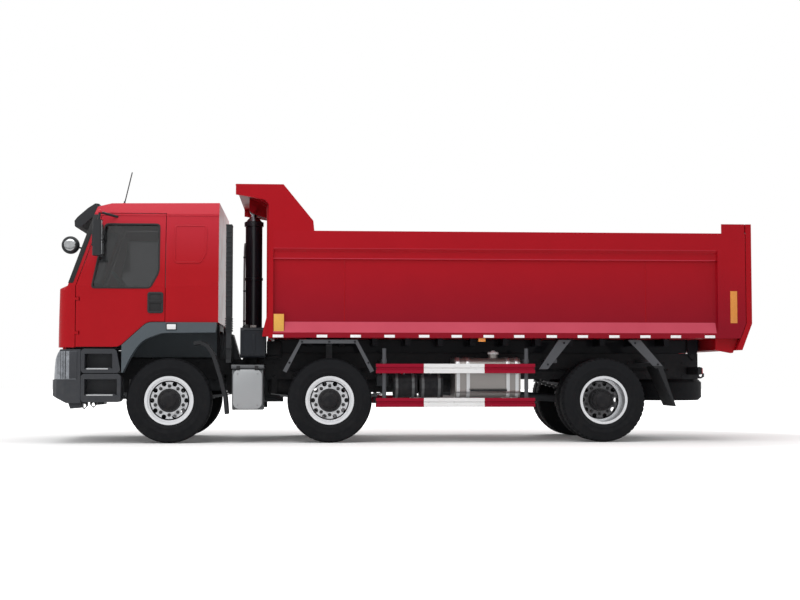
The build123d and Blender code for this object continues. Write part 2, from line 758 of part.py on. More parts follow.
def front_mudguard():
    """The bowed guard behind the left front wheel and its hanging flap."""
    foot = AXLE_1 + TYRE_D / 2 + FLAP_LEAD
    line = [(-437, 1262), (-350, 1275), (-250, 1225), (-170, 1100), (-82, 825), (-19, 575), (0, 362)]
    strip = side_plate(band([(foot + s, z) for s, z in line], 45), 900, 1200)
    return strip + block(foot - 120, foot - 70, RAIL_Y, 905, 800, 850)


def second_mudguard():
    """The angular guard over the left second wheel, on an arm from the rail."""
    line = [(-585, 900), (-374, 1287), (341, 1287), (551, 900)]
    line = [(AXLE_2 + s, z) for s, z in line]
    s0 = AXLE_2 - 39
    s1 = AXLE_2 + 41
    guard = side_plate(band(line, 50), 1180, 1230)
    guard += side_plate(band(line, 16), 890, 1181)
    guard += block(s0, s1, RAIL_Y, RAIL_Y + 60, RAIL_Z1 - 60, RAIL_Z1 - 10)
    guard += block(s0, s1, RAIL_Y + 15, RAIL_Y + 60, RAIL_Z1 - 60, 1286)
    return guard + block(s0, s1, RAIL_Y + 15, 900, 1240, 1286)


def from_rear_axle(points):
    """Points given from the third axle as stations and heights."""
    return [(AXLE_3 + s, z) for s, z in points]


def rear_mudguard():
    """The slanted struts at the left rear wheels and the flap behind them."""
    front = side_plate(from_rear_axle([(-569, 1290), (-409, 1290), (-709, 920), (-819, 920)]), 1150, 1190)
    front += block(AXLE_3 - 669, AXLE_3 - 589, RAIL_Y, 1160, 1000, 1044)
    rear = side_plate(from_rear_axle([(321, 1290), (481, 1290), (791, 930), (671, 930)]), 1150, 1190)
    rear += side_plate(from_rear_axle([(691, 960), (761, 960), (931, 450), (911, 450)]), 620, 1190)
    rear += block(AXLE_3 + 581, AXLE_3 + 661, RAIL_Y, 1160, 1000, 1044)
    return front + rear


def add_sides(nodes):
    """Tanks, boxes, guards, mudguards, spare and lamps."""
    nodes["fuel_tank"] = fuel_tank()
    nodes["battery_box"] = battery_box()
    nodes["hydraulic_tank"] = hydraulic_tank()
    nodes["air_tanks"] = air_tanks()
    nodes["silencer"] = silencer()
    nodes["side_guards"] = pair(side_guard())
    nodes["mudguards"] = pair(front_mudguard() + second_mudguard() + rear_mudguard())
    nodes["spare_wheel"] = spare_wheel()
    nodes["rear_lamp_bar"] = rear_lamp_bar()
    nodes["intake_stack"] = intake_stack()


# Cab
LEAN = (ROOF_FRONT_S - SCREEN_S) / (ROOF_FRONT_Z - SCREEN_Z)
CAB_HALF = CAB_WIDTH / 2


def drawn_in(face, inset):
    """A face with its outline moved inward by inset."""
    return offset(face, amount=-inset, kind=Kind.INTERSECTION) if inset else face


def cab_side(inset):
    """The cab's side view as a solid across the whole width."""
    points = [(CAB_FACE, CAB_Z0), (COWL_S, COWL_Z), (SCREEN_S, SCREEN_Z), (ROOF_FRONT_S, ROOF_FRONT_Z)]
    points += [(CROWN_S, CROWN_Z), (CAB_BACK, CAB_TOP), (CAB_BACK, CAB_REAR_Z), (WELL_END_S, CAB_REAR_Z)]
    points += [(WELL_S, CAB_Z0)]
    face = side_face(points, -REACH / 2)
    bends = [face.vertices().sort_by_distance((x_at(s), -REACH / 2, z))[0]
             for s, z in ((WELL_S, CAB_Z0), (WELL_END_S, CAB_REAR_Z))]
    face = drawn_in(fillet(bends, ARCH_R), inset)
    return extrude(face, amount=REACH, dir=(0, 1, 0))


def cab_front(inset):
    """The cab's front view as a solid along the whole length: upright below the belt, drawn in above."""
    eaves = CAB_HALF - TUMBLEHOME
    left = [(CAB_HALF, CAB_Z0 - 200), (CAB_HALF, SCREEN_Z), (eaves, EAVES_Z), (eaves - EAVES_IN, CAB_TOP + 30)]
    right = [(-y, z) for y, z in reversed(left)]
    points = [(x_at(REACH), y, z) for y, z in left + right]
    face = drawn_in(make_face(Polyline(*points, close=True)), inset)
    return extrude(face, amount=2 * REACH, dir=(1, 0, 0))


def cab_plan(inset):
    """The cab's plan view as a solid that leans back with the windscreen above the belt."""
    half = CAB_HALF - inset
    front = CAB_FACE + inset
    radius = CAB_CORNER_R - inset

    def face(z):
        corner = front + radius
        left = Line((x_at(corner), half, z), (x_at(CAB_BACK + REACH), half, z))
        back = Line((x_at(CAB_BACK + REACH), half, z), (x_at(CAB_BACK + REACH), -half, z))
        right = Line((x_at(CAB_BACK + REACH), -half, z), (x_at(corner), -half, z))
        chord = radius * (1 - math.sqrt(0.5))
        turn_right = ThreePointArc((x_at(corner), -half, z), (x_at(front + chord), -half + chord, z),
                                   (x_at(front), -half + radius, z))
        nose = Line((x_at(front), -half + radius, z), (x_at(front), half - radius, z))
        turn_left = ThreePointArc((x_at(front), half - radius, z), (x_at(front + chord), half - chord, z),
                                  (x_at(corner), half, z))
        return make_face([left, back, right, turn_right, nose, turn_left])

    base = SCREEN_Z - (SCREEN_S - CAB_FACE) * 0.4
    lower = extrude(face(CAB_Z0 - 200), amount=base - CAB_Z0 + 200, dir=(0, 0, 1))
    rise = CAB_TOP + 100 - base
    upper = extrude(face(base), amount=math.hypot(rise, rise * LEAN), dir=(-LEAN, 0, 1))
    return lower + upper


def cab_form(inset):
    """The cab's outside drawn in by inset: what its side, front and plan views have in common."""
    return cab_side(inset) & cab_front(inset) & cab_plan(inset)


def door_outline(gap):
    """The left or right door's outline in side view, drawn in by gap."""
    top = ROOF_SEAM - 4
    head = DOOR_S0 + LEAN * (top - SCREEN_Z)
    points = [(DOOR_S0, CAB_Z0 - 90), (DOOR_S0, SCREEN_Z), (head, top), (DOOR_S1, top), (DOOR_S1, CAB_Z0 - 90)]
    return drawn_in(side_face(points, -REACH / 2), gap)


def window_outline(inset):
    """The door window's outline in side view."""
    sill = SCREEN_Z - 25
    head = ROOF_SEAM - 141
    front = DOOR_S0 + 193
    rear = DOOR_S1 - 82
    points = [(front, sill), (front + 157, head), (rear, head), (rear, sill + 205), (rear - 105, sill)]
    face = fillet(side_face(points, -REACH / 2).vertices(), 40)
    return drawn_in(face, inset)


def windscreen_zone(inset):
    """The windscreen's outline in front view, made solid through the cab's front."""
    left = [(CAB_HALF - 150, SCREEN_Z + 50), (CAB_HALF - 230, CAB_TOP - 220)]
    right = [(-y, z) for y, z in reversed(left)]
    face = make_face(Polyline(*[(x_at(CROWN_S), y, z) for y, z in left + right], close=True))
    face = drawn_in(fillet(face.vertices(), 60), inset)
    return extrude(face, amount=REACH / 2, dir=(1, 0, 0))


def through(face):
    """A side-view face made solid across the whole width."""
    return extrude(face, amount=REACH, dir=(0, 1, 0))


def half_space(side):
    """Everything on one side of the truck's middle."""
    near = block(-REACH, LENGTH, 1, REACH, 0, REACH)
    return near if side > 0 else other_side(near)


def door_pins(side):
    """Heights and place of a door's two hinge pins: station, y and the two heights."""
    return DOOR_S0 + DOOR_PIN_BACK, side * (CAB_HALF - DOOR_PIN_IN), (1370.0, 1790.0)


def door_notch(s, y, z, side):
    """Room in the door's front edge for one hinge bracket, open to the front and to the outside."""
    reach = side * 40
    y0, y1 = sorted((y - side * 22, y + reach))
    return block(s - 60, s + 24, y0, y1, z - 24, z + 24)


def hinge_bracket(s, y, z):
    """A tongue from the cab's corner with the pin that the door turns on."""
    pin = Pos(x_at(s), y, z) * Cylinder(DOOR_PIN_R, 130)
    tongue = Pos(x_at(s), y, z) * Cylinder(DOOR_PIN_R + 4, 36)
    return pin + tongue + block(DOOR_S0 - CAB_WALL / 3, s, y - 10, y + 10, z - 18, z + 18)


def add_cab(nodes):
    """The hollow cab in its panels, its glass, its doors and what is fixed to it."""
    outside = cab_form(0)
    inside = cab_form(CAB_WALL)
    shell = outside - inside
    side_walls = outside - cab_front(CAB_WALL)
    between = cab_front(CAB_WALL)
    door_hole = through(door_outline(0))
    above = block(-REACH, LENGTH, -REACH, REACH, ROOF_SEAM, REACH)
    floor_zone = side_plate([(CAB_FACE + CAB_WALL, CAB_Z0 - 90), (CAB_FACE + CAB_WALL, CAB_Z0 + CAB_WALL + 5),
                             (WELL_S, CAB_Z0 + CAB_WALL + 5), (WELL_END_S, CAB_REAR_Z + CAB_WALL + 5),
                             (CAB_BACK - CAB_WALL, CAB_REAR_Z + CAB_WALL + 5),
                             (CAB_BACK - CAB_WALL, CAB_Z0 - 90)], -REACH / 2, REACH / 2)
    behind = block(DOOR_S1, LENGTH, -REACH, REACH, 0, ROOF_SEAM)
    ahead = block(-REACH, DOOR_S1, -REACH, REACH, 0, ROOF_SEAM)

    floor_half = CAB_HALF - CAB_WALL - FLOOR_GAP
    floor = outside & floor_zone & between & block(0, LENGTH, -floor_half, floor_half, 0, REACH)
    floor -= inside
    arm = side_plate([(TILT_S - 45, CAB_Z0), (TILT_S + 45, CAB_Z0), (TILT_S + 40, TILT_Z), (TILT_S, TILT_Z - 42),
                      (TILT_S - 40, TILT_Z)], TILT_ARM_Y, TILT_ARM_Y + TILT_ARM_W)
    arm -= cross_pin(TILT_S, TILT_Z, TILT_ARM_Y - 20, TILT_ARM_Y + 80, TILT_R + FIT)
    nodes["cab_floor"] = floor + pair(arm)

    front = (shell & ahead) - door_hole - (floor_zone & between) - windscreen_zone(0)
    grille = block(CAB_FACE - 13, CAB_FACE + 30, -POD_Y + 30, POD_Y - 30, 985, CAB_Z0 + 1)
    front += grille
    for side in (1, -1):
        s, y, heights = door_pins(side)
        for z in heights:
            front += hinge_bracket(s, y, z) & half_space(side)
    nodes["cab_front_panel"] = front
    nodes["cab_roof"] = shell & above
    nodes["cab_shell"] = (shell & behind) - (floor_zone & between)
    nodes["windscreen"] = (cab_form(GLASS_INSET) - cab_form(GLASS_INSET + GLASS_T)) & windscreen_zone(SEAT)

    glass = (cab_form(GLASS_INSET) - cab_form(GLASS_INSET + GLASS_T)) & through(window_outline(SEAT))
    for side, name in ((1, "left"), (-1, "right")):
        door = side_walls & through(door_outline(PANEL_GAP)) & cab_side(PANEL_GAP) & half_space(side)
        door -= through(window_outline(0))
        s, y, heights = door_pins(side)
        for z in heights:
            door -= door_notch(s, y, z, side)
            door -= Pos(x_at(s), y, z) * Cylinder(DOOR_PIN_R + FIT, 134)
        nodes[f"door_{name}"] = door
        nodes[f"door_glass_{name}"] = glass & half_space(side)
        nodes[f"mirror_{name}"] = mirror_unit(side) - door
    add_cab_fittings(nodes, outside)


def mirror_unit(side):
    """A door mirror: a tall rounded housing on an arched arm."""
    y0, y1 = MIRROR_Y - 90, MIRROR_Y + 90
    top = ROOF_SEAM - 122
    s0 = DOOR_S0 + 235
    housing = block(s0, s0 + 113, y0, y1, top - 438, top)
    housing = fillet(housing.edges().filter_by(Axis.Z), 30)
    elbow = (s0 + 78, MIRROR_Y - 5, top + 100)
    arm = rod((s0 + 63, MIRROR_Y, top - 10), elbow, 16)
    arm += rod(elbow, (s0 + 278, CAB_HALF - 100, top + 65), 16)
    arm += Pos(x_at(elbow[0]), elbow[1], elbow[2]) * Sphere(16)
    whole = housing + arm
    return whole if side > 0 else other_side(whole)


def front_mirror():
    """The round mirror ahead of the windscreen's right side, on a cranked arm from the corner post."""
    s = FRONT_MIRROR_R - MIRROR_LEAD
    z = CAB_TOP - 405
    y = FRONT_MIRROR_Y
    bowl = cross_pin(s, z, y - 55, y + 55, FRONT_MIRROR_R)
    bowl = fillet(bowl.edges().filter_by(GeomType.CIRCLE), 40)
    elbow = (s + 130, y - 430, z - 15)
    arm = rod((s, y - 40, z), elbow, 13)
    arm += Pos(x_at(elbow[0]), elbow[1], elbow[2]) * Sphere(13)
    return bowl + arm + rod(elbow, (SCREEN_S + 355, 145 - CAB_HALF, z - 45), 13)


def arch_flare():
    """The left arch's moulding, its lower edge bowed and its upper edge along the cab's side."""
    bow = [(-566, 875), (-502, 1012), (-416, 1162), (-294, 1287), (-172, 1337), (-49, 1369)]
    start = [Vector(x_at(AXLE_1 + s), FLARE_Y, z) for s, z in bow]
    lower = Spline(*start, tangents=[start[1] - start[0], (-1, 0, 0.04)])
    rest = [(AXLE_1 - 49, 1369), (CAB_BACK - 36, 1375), (CAB_BACK - 20, CAB_REAR_Z), (CAB_BACK - 20, CAB_REAR_Z + 200),
            (STEP_S1 + PANEL_GAP, CAB_REAR_Z + 200), (STEP_S1 + PANEL_GAP, 875), (AXLE_1 - 566, 875)]
    upper = Polyline(*[(x_at(s), FLARE_Y, z) for s, z in rest])
    flare = extrude(make_face([lower, upper]), amount=CAB_HALF + 15 - FLARE_Y, dir=(0, 1, 0))
    return flare - cab_side(0)


def arch_wall():
    """The upright wall inside the left front wheel, hung from the cab's floor."""
    foot = RAIL_Z1 + 25
    points = [(WELL_S + 20, foot), (CAB_BACK - 60, foot), (CAB_BACK - 60, CAB_REAR_Z + 200), (WELL_S + 20, CAB_REAR_Z + 200)]
    return side_plate(points, RAIL_Y + 30, RAIL_Y + 42) - cab_side(-SEAT)


def add_cab_fittings(nodes, outside):
    """Arch flares, visor, seats, dashboard with its wheel, and the small roof and corner fittings."""
    nodes["arch_flares"] = pair(arch_flare()) + pair(arch_wall())

    peak = [(-295, -175), (-255, -125), (-130, -15), (-40, 45), (15, 40), (10, -50), (-110, -160), (-210, -250)]
    peak += [(-255, -270), (-290, -245)]
    section = side_face([(ROOF_FRONT_S + s, ROOF_FRONT_Z + z) for s, z in peak], -VISOR_HALF)
    visor = extrude(fillet(section.vertices(), 14), amount=2 * VISOR_HALF, dir=(0, 1, 0))
    nodes["sun_visor"] = visor - outside

    seat = CAB_REAR_Z + CAB_WALL
    cushion = block(1180, 1660, 260, 780, seat, seat + 420)
    backrest = side_plate([(1560, seat + 420), (1680, seat + 420), (1780, seat + 1080), (1690, seat + 1100)], 270, 770)
    nodes["seats"] = pair(cushion + backrest)

    front = CAB_FACE + CAB_WALL
    desk = side_plate([(front, 1700), (560, 1640), (520, 1930), (260, 1990), (front, 1880)], -1090, 1090)
    column = rod((520, 520, 1800), (760, 520, 2010), 32)
    ring = Plane(origin=(x_at(760), 520, 2010), z_dir=(-240, 0, 210)) * Torus(215, 17)
    spoke = Plane(origin=(x_at(760), 520, 2010), z_dir=(-240, 0, 210)) * Box(40, 430, 24)
    nodes["dashboard"] = (desk + column + ring + spoke) & cab_form(CAB_WALL + SEAT)

    horn = block(CROWN_S - 20, CROWN_S + 65, -30, 30, CAB_TOP - 30, CAB_TOP + 22) - outside
    mast = rod((CROWN_S + 120, 900, CAB_TOP - 50), (CROWN_S + 225, 900, CAB_TOP + 402), 7) - outside
    nodes["cab_fittings"] = horn + mast + (front_mirror() - outside)


# Bed
def tuck(lead):
    """Everything behind the bed's rear end where it draws in below the gate's bend, lead further back."""
    rear = BED_S1 + lead
    foot = GATE_Z0 - 200
    slope = GATE_TUCK / (GATE_BEND_Z - GATE_Z0)
    points = [(rear, GATE_BEND_Z), (LENGTH + REACH, GATE_BEND_Z), (LENGTH + REACH, foot)]
    points.append((rear - slope * (GATE_BEND_Z - foot), foot))
    return side_plate(points, -REACH / 2, REACH / 2)


def bed_side():
    """The left wall: a top band, a groove, a recessed panel, and a ledge over the bottom rail."""
    outer = BED_WIDTH / 2
    recess = outer - BED_RECESS
    points = [(BED_INNER, BED_Z0), (outer, BED_Z0), (outer, BED_Z0 + 63), (recess, BED_Z0 + 200)]
    fold = BED_BAND_Z - 125
    points += [(recess, fold - 10), (recess + 28, fold), (recess + 22, fold + 88), (outer, BED_BAND_Z)]
    points += [(outer, BED_TOP), (BED_INNER, BED_TOP)]
    wall = section_bar(points, BED_S0 + WALL_T, POST_S)
    wall += block(POST_S, BED_S1, BED_INNER, outer, BED_Z0, BED_TOP)
    wall -= tuck(0)
    wall += block(GATE_PIN_S - 50, GATE_PIN_S + 50, BED_INNER, EAR_Y0 - 6, BED_TOP - 1, GATE_PIN_Z + 45)
    wall += block(GATE_PIN_S - 85, BED_S1 - 10, outer - 17, outer, BED_TOP - 1, EAR_TOP)
    return wall + cross_pin(GATE_PIN_S, GATE_PIN_Z, BED_INNER + 5, EAR_Y1 + 4, GATE_PIN_R)


def well_line():
    """Front line of the hoist's well: slanting from under the canopy back to the floor."""
    return [(BED_S0, 2880), (BED_S0 + WELL_DEPTH, BED_Z0)]


def bed_floor():
    """The floor plate with cross ribs, two long beams, the hinge lugs and a rear skirt."""
    well_s = BED_S0 + WELL_DEPTH
    top = BED_Z0 + BED_FLOOR_T
    floor = block(BED_S0 + WALL_T, BED_S1, -BED_INNER, BED_INNER, BED_Z0, top)
    floor -= block(0, well_s + WALL_T, -WELL_HALF - WALL_T, WELL_HALF + WALL_T, 0, REACH)
    beam = block(BED_S0 + WALL_T, HINGE_S - HINGE_LUG, BEAM_Y, BEAM_Y + BED_BEAM_W, BED_BEAM_Z, BED_Z0)
    beam += block(HINGE_S - HINGE_LUG, HINGE_S + HINGE_LUG, RAIL_Y + 6, RAIL_Y + 50, HINGE_Z + 80, BED_Z0)
    beam += side_plate([(HINGE_S - HINGE_LUG, HINGE_Z + 82), (HINGE_S + HINGE_LUG, HINGE_Z + 82),
                        (HINGE_S + 48, HINGE_Z), (HINGE_S, HINGE_Z - 52), (HINGE_S - 48, HINGE_Z)],
                       RAIL_Y + 6, RAIL_Y + 50)
    beam -= cross_pin(HINGE_S, HINGE_Z, RAIL_Y, RAIL_Y + 60, HINGE_R + FIT)
    floor += pair(beam)
    rib = BED_S0 + 510
    while rib < HINGE_S - 100:
        floor += block(rib - 35, rib + 35, -RIB_Y, RIB_Y, BED_Z0 - 90, BED_Z0)
        rib += RIB_PITCH
    skirt = side_plate([(HINGE_S + 110, BED_Z0), (BED_S1, BED_Z0), (BED_S1, GATE_Z0 - 12), (HINGE_S + 310, GATE_Z0 - 37),
                        (HINGE_S + 110, GATE_Z0)], BED_INNER - 40, BED_INNER)
    floor += pair(skirt)
    floor += block(HINGE_S + 110, HINGE_S + 150, -BED_INNER, BED_INNER, GATE_Z0, BED_Z0 + 1)
    floor += block(HINGE_S + 250, HINGE_S + 290, -BED_INNER, BED_INNER, GATE_Z0, BED_Z0 + 1)
    return floor - tuck(0)


def bed_front_wall():
    """The front wall with the hoist's well, the canopy above it and the eye's bracket."""
    outer = BED_WIDTH / 2
    wall = block(BED_S0, BED_S0 + WALL_T, -outer, outer, BED_Z0, CANOPY_TOP)
    well = well_line()
    wall -= block(0, LENGTH, -WELL_HALF, WELL_HALF, BED_Z0 - 1, 2880)
    back = side_plate(well + [(s + WALL_T, z) for s, z in reversed(well)], -WELL_HALF - WALL_T, WELL_HALF + WALL_T)
    cheek = side_plate(well + [(BED_S0, BED_Z0)], WELL_HALF, WELL_HALF + WALL_T)
    wall += back + pair(cheek)
    top = block(CANOPY_S, BED_S0 + 180, -outer, outer, CANOPY_TOP - CANOPY_T, CANOPY_TOP)
    wing = side_plate([(CANOPY_S, CANOPY_TOP), (BED_S0 + 184, CANOPY_TOP), (BED_S0 + 557, BED_TOP + 125),
                       (BED_S0 + 570, BED_TOP), (BED_S0, BED_TOP), (BED_S0, CANOPY_TOP - 251),
                       (BED_S0 - 50, CANOPY_TOP - 194), (CANOPY_S, CANOPY_TOP - 131)], outer - CANOPY_T, outer)
    bracket = side_plate([(HOIST_S - 60, EYE_Z - 30), (HOIST_S - 60, CANOPY_TOP - 5), (BED_S0 + 1, CANOPY_TOP - 5),
                          (BED_S0 + 1, EYE_Z - 140), (HOIST_S + 60, EYE_Z - 90)], EYE_CHEEK_Y, EYE_CHEEK_Y + 30)
    bracket += cross_pin(HOIST_S, EYE_Z, EYE_CHEEK_Y, EYE_CHEEK_Y + 60, 44)
    return wall + top + pair(wing) + pair(bracket)


def gate_plate(outline_t, y0, y1, z0, z1):
    """A slice of the bent gate, outline_t thick, between two widths and two heights."""
    whole = block(BED_S1 - GATE_TUCK - 80, BED_S1 + PANEL_GAP + outline_t, y0, y1, z0, z1)
    front = block(0, BED_S1 + PANEL_GAP, -REACH, REACH, 0, REACH) - tuck(PANEL_GAP)
    return whole - front - tuck(PANEL_GAP + outline_t)


def tailgate():
    """The gate: a plate bent forward at its foot, its ribs, and two ears that reach forward to its pins."""
    outer = BED_WIDTH / 2
    s0 = BED_S1 + PANEL_GAP
    middle = (GATE_BEND_Z + BED_TOP) / 2
    gate = gate_plate(GATE_PLATE_T, -outer, outer, GATE_Z0, BED_TOP)
    for y in (GATE_RIB - outer, -outer / 3, outer / 3, outer - GATE_RIB):
        gate += gate_plate(GATE_T, y - GATE_RIB, y + GATE_RIB, GATE_Z0, BED_TOP)
    for z in (GATE_Z0 + GATE_RIB, middle, BED_TOP - GATE_RIB):
        gate += gate_plate(GATE_T, -outer, outer, z - GATE_RIB, z + GATE_RIB)
    low = GATE_PIN_Z - 48
    ear = side_plate([(GATE_PIN_S - 48, GATE_PIN_Z - 30), (GATE_PIN_S - 30, low), (LENGTH, low), (LENGTH, EAR_TOP),
                      (GATE_PIN_S - 30, EAR_TOP - 6), (GATE_PIN_S - 48, GATE_PIN_Z + 30)], EAR_Y0, EAR_Y1)
    ear += block(s0, LENGTH, EAR_Y0, EAR_Y1, BED_TOP - 1, GATE_PIN_Z)
    ear += block(s0, LENGTH, EAR_Y0, outer, BED_TOP - 1, EAR_TOP)
    ear -= cross_pin(GATE_PIN_S, GATE_PIN_Z, EAR_Y0 - 10, EAR_Y1 + 10, GATE_PIN_R + FIT)
    return gate + pair(ear)


def add_bed(nodes):
    """The hollow bed and its gate."""
    nodes["bed_floor"] = bed_floor()
    nodes["bed_sides"] = pair(bed_side())
    nodes["bed_front_wall"] = bed_front_wall()
    nodes["tailgate"] = tailgate()


# Hoist
def tube(z0, z1, outer, inner):
    """An upright tube on the hoist's axis."""
    piece = Pos(x_at(HOIST_S), 0, (z0 + z1) / 2) * Cylinder(outer, z1 - z0)
    if inner:
        piece -= Pos(x_at(HOIST_S), 0, (z0 + z1) / 2) * Cylinder(inner, z1 - z0)
    return piece


def add_hoist(nodes):
    """Barrel with trunnions, and stages that draw out of one another."""
    base = TRUNNION_Z - 120
    bore = BARREL_R - STAGE_WALL
    barrel = tube(base, BARREL_TOP, BARREL_R, 0) - tube(base + 30, BARREL_TOP + 1, bore, 0)
    barrel += cross_pin(HOIST_S, TRUNNION_Z, -BARREL_R - 62, -bore - 2, TRUNNION_R)
    barrel += cross_pin(HOIST_S, TRUNNION_Z, bore + 2, BARREL_R + 62, TRUNNION_R)
    nodes["hoist_barrel"] = barrel
    outer = bore - STAGE_CLEAR
    for number in range(1, STAGES + 1):
        foot = base + 30 + 12 * number
        head = BARREL_TOP + 18 * number
        inner = outer - STAGE_WALL
        last = number == STAGES
        stage = tube(foot, head, outer, 0 if last else inner)
        if last:
            stage += tube(head - 1, EYE_Z, 36, 0)
            stage += cross_pin(HOIST_S, EYE_Z, -38, 38, EYE_R)
        nodes[f"hoist_stage_{number}"] = stage
        outer = inner - STAGE_CLEAR


def main():
    """Build every piece and write one file for each."""
    nodes = {}
    add_wheels(nodes)
    add_axles(nodes)
    add_frame(nodes)
    add_front_end(nodes)
    add_sides(nodes)
    add_cab(nodes)
    add_bed(nodes)
    add_hoist(nodes)
    os.makedirs("parts", exist_ok=True)
    for name, shape in nodes.items():
        export_step(shape, f"parts/{name}.step")


main()
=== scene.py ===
"""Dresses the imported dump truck: finishes, modelled detail, stage, light and camera."""

import json
import logging
import math
from dataclasses import dataclass, field
from enum import Enum
from typing import Any, Iterable, Sequence

import bpy
from mathutils import Matrix, Vector

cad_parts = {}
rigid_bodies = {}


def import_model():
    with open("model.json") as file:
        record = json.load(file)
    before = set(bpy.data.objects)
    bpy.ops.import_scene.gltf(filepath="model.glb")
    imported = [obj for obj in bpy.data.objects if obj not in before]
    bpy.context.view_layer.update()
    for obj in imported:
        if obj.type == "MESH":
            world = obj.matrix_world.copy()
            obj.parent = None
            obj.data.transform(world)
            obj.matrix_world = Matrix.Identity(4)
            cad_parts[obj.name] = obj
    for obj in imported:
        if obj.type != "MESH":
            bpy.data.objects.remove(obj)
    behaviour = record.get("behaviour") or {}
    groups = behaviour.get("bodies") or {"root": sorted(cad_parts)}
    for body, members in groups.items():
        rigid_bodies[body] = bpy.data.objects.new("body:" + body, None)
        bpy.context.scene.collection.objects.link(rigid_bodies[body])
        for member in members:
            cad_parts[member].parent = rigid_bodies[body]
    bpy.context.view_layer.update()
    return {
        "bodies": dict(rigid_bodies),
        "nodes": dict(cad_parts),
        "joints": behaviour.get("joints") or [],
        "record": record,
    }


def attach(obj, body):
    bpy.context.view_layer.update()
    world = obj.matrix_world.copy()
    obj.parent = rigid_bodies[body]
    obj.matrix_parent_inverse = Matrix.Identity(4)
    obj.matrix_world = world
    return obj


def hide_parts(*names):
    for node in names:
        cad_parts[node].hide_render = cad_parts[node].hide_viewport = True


LOG = logging.getLogger("dump_truck")
FRONT_X = 4.29
CAB_HALF = 1.22
BED_HALF = 1.25
AXLE_Z = 0.53
AXLES = {1: 1.416, 2: 3.409, 3: 6.869}
TRACK = {1: 1.05, 2: 1.05, 3: 0.932}
REAR_AXLE = 3
BELT_Z = 1.95
TUMBLE = 0.0824
SIDES = {"left": 1.0, "right": -1.0}
Colour = tuple[float, float, float]
Point = tuple[float, float, float]
Pair = tuple[float, float]
DUST: Colour = (0.16, 0.145, 0.125)
WHITE: Colour = (1.0, 1.0, 1.0)
BLACK: Colour = (0.0, 0.0, 0.0)


def x_at(station: float) -> float:
    """Place along X of a station, a distance in metres back from the bumper's face."""
    return FRONT_X - station


def stations(outline: Iterable[Pair]) -> list[Pair]:
    """An outline of (station, height) as one of (x, z)."""
    return [(x_at(station), height) for station, height in outline]


def rounded(s0: float, s1: float, z0: float, z1: float, radius: float) -> tuple[Pair, ...]:
    """The outline, as (station, height), of a plate with round corners between stations and heights.

    Args:
        s0: the front station.
        s1: the rear station.
        z0: the foot's height.
        z1: the top's height.
        radius: the corners' radius.

    Returns:
        The corners in order.
    """
    corners = ((s0, z0, 1, 1, 180), (s0, z1, 1, -1, 90), (s1, z1, -1, -1, 0), (s1, z0, -1, 1, 270))
    outline = []
    for station, height, along, up, start in corners:
        for step in range(6):
            angle = math.radians(start + (5 - step) * 18.0)
            across, rise = along + math.cos(angle), up + math.sin(angle)
            outline.append((station + radius * across, height + radius * rise))
    return tuple(outline)


def flip(sign: float) -> Matrix:
    """Takes a piece drawn on the left to the side of a sign."""
    return Matrix.Diagonal((1.0, sign, 1.0, 1.0))


def lean_in() -> Matrix:
    """Turns a piece drawn upright on the left in with the cab's side above its belt line."""
    pivot = Matrix.Translation((0, CAB_HALF, BELT_Z))
    return pivot @ Matrix.Rotation(math.atan(TUMBLE), 4, "X") @ pivot.inverted()


class Value:
    """A shader socket that takes part in Python arithmetic."""

    def __init__(self, graph: "Graph", socket: Any) -> None:
        """Wraps one output socket of a graph."""
        self.graph = graph
        self.socket = socket

    def maths(self, operation: str, *others: Any, clamp: bool = False) -> "Value":
        """Adds a Math node, its result held between 0 and 1 where clamp is set."""
        settings = {"operation": operation, "use_clamp": clamp}
        return self.graph.node("ShaderNodeMath", settings, [self, *others])

    def __add__(self, other: Any) -> "Value":
        """Sum."""
        return self.maths("ADD", other)

    __radd__ = __add__

    def __sub__(self, other: Any) -> "Value":
        """Difference."""
        return self.maths("SUBTRACT", other)

    def __rsub__(self, other: Any) -> "Value":
        """Difference from a number."""
        return self.graph.node("ShaderNodeMath", {"operation": "SUBTRACT"}, [other, self])

    def __mul__(self, other: Any) -> "Value":
        """Product."""
        return self.maths("MULTIPLY", other)

    __rmul__ = __mul__

    def __truediv__(self, other: Any) -> "Value":
        """Quotient."""
        return self.maths("DIVIDE", other)

    def above(self, limit: Any) -> "Value":
        """1 where the value is over a limit."""
        return self.maths("GREATER_THAN", limit)

    def below(self, limit: Any) -> "Value":
        """1 where the value is under a limit."""
        return self.maths("LESS_THAN", limit)

    def ramp(self, low: float, high: float) -> "Value":
        """Rises from 0 at low to 1 at high."""
        return (self - low).maths("DIVIDE", high - low, clamp=True)


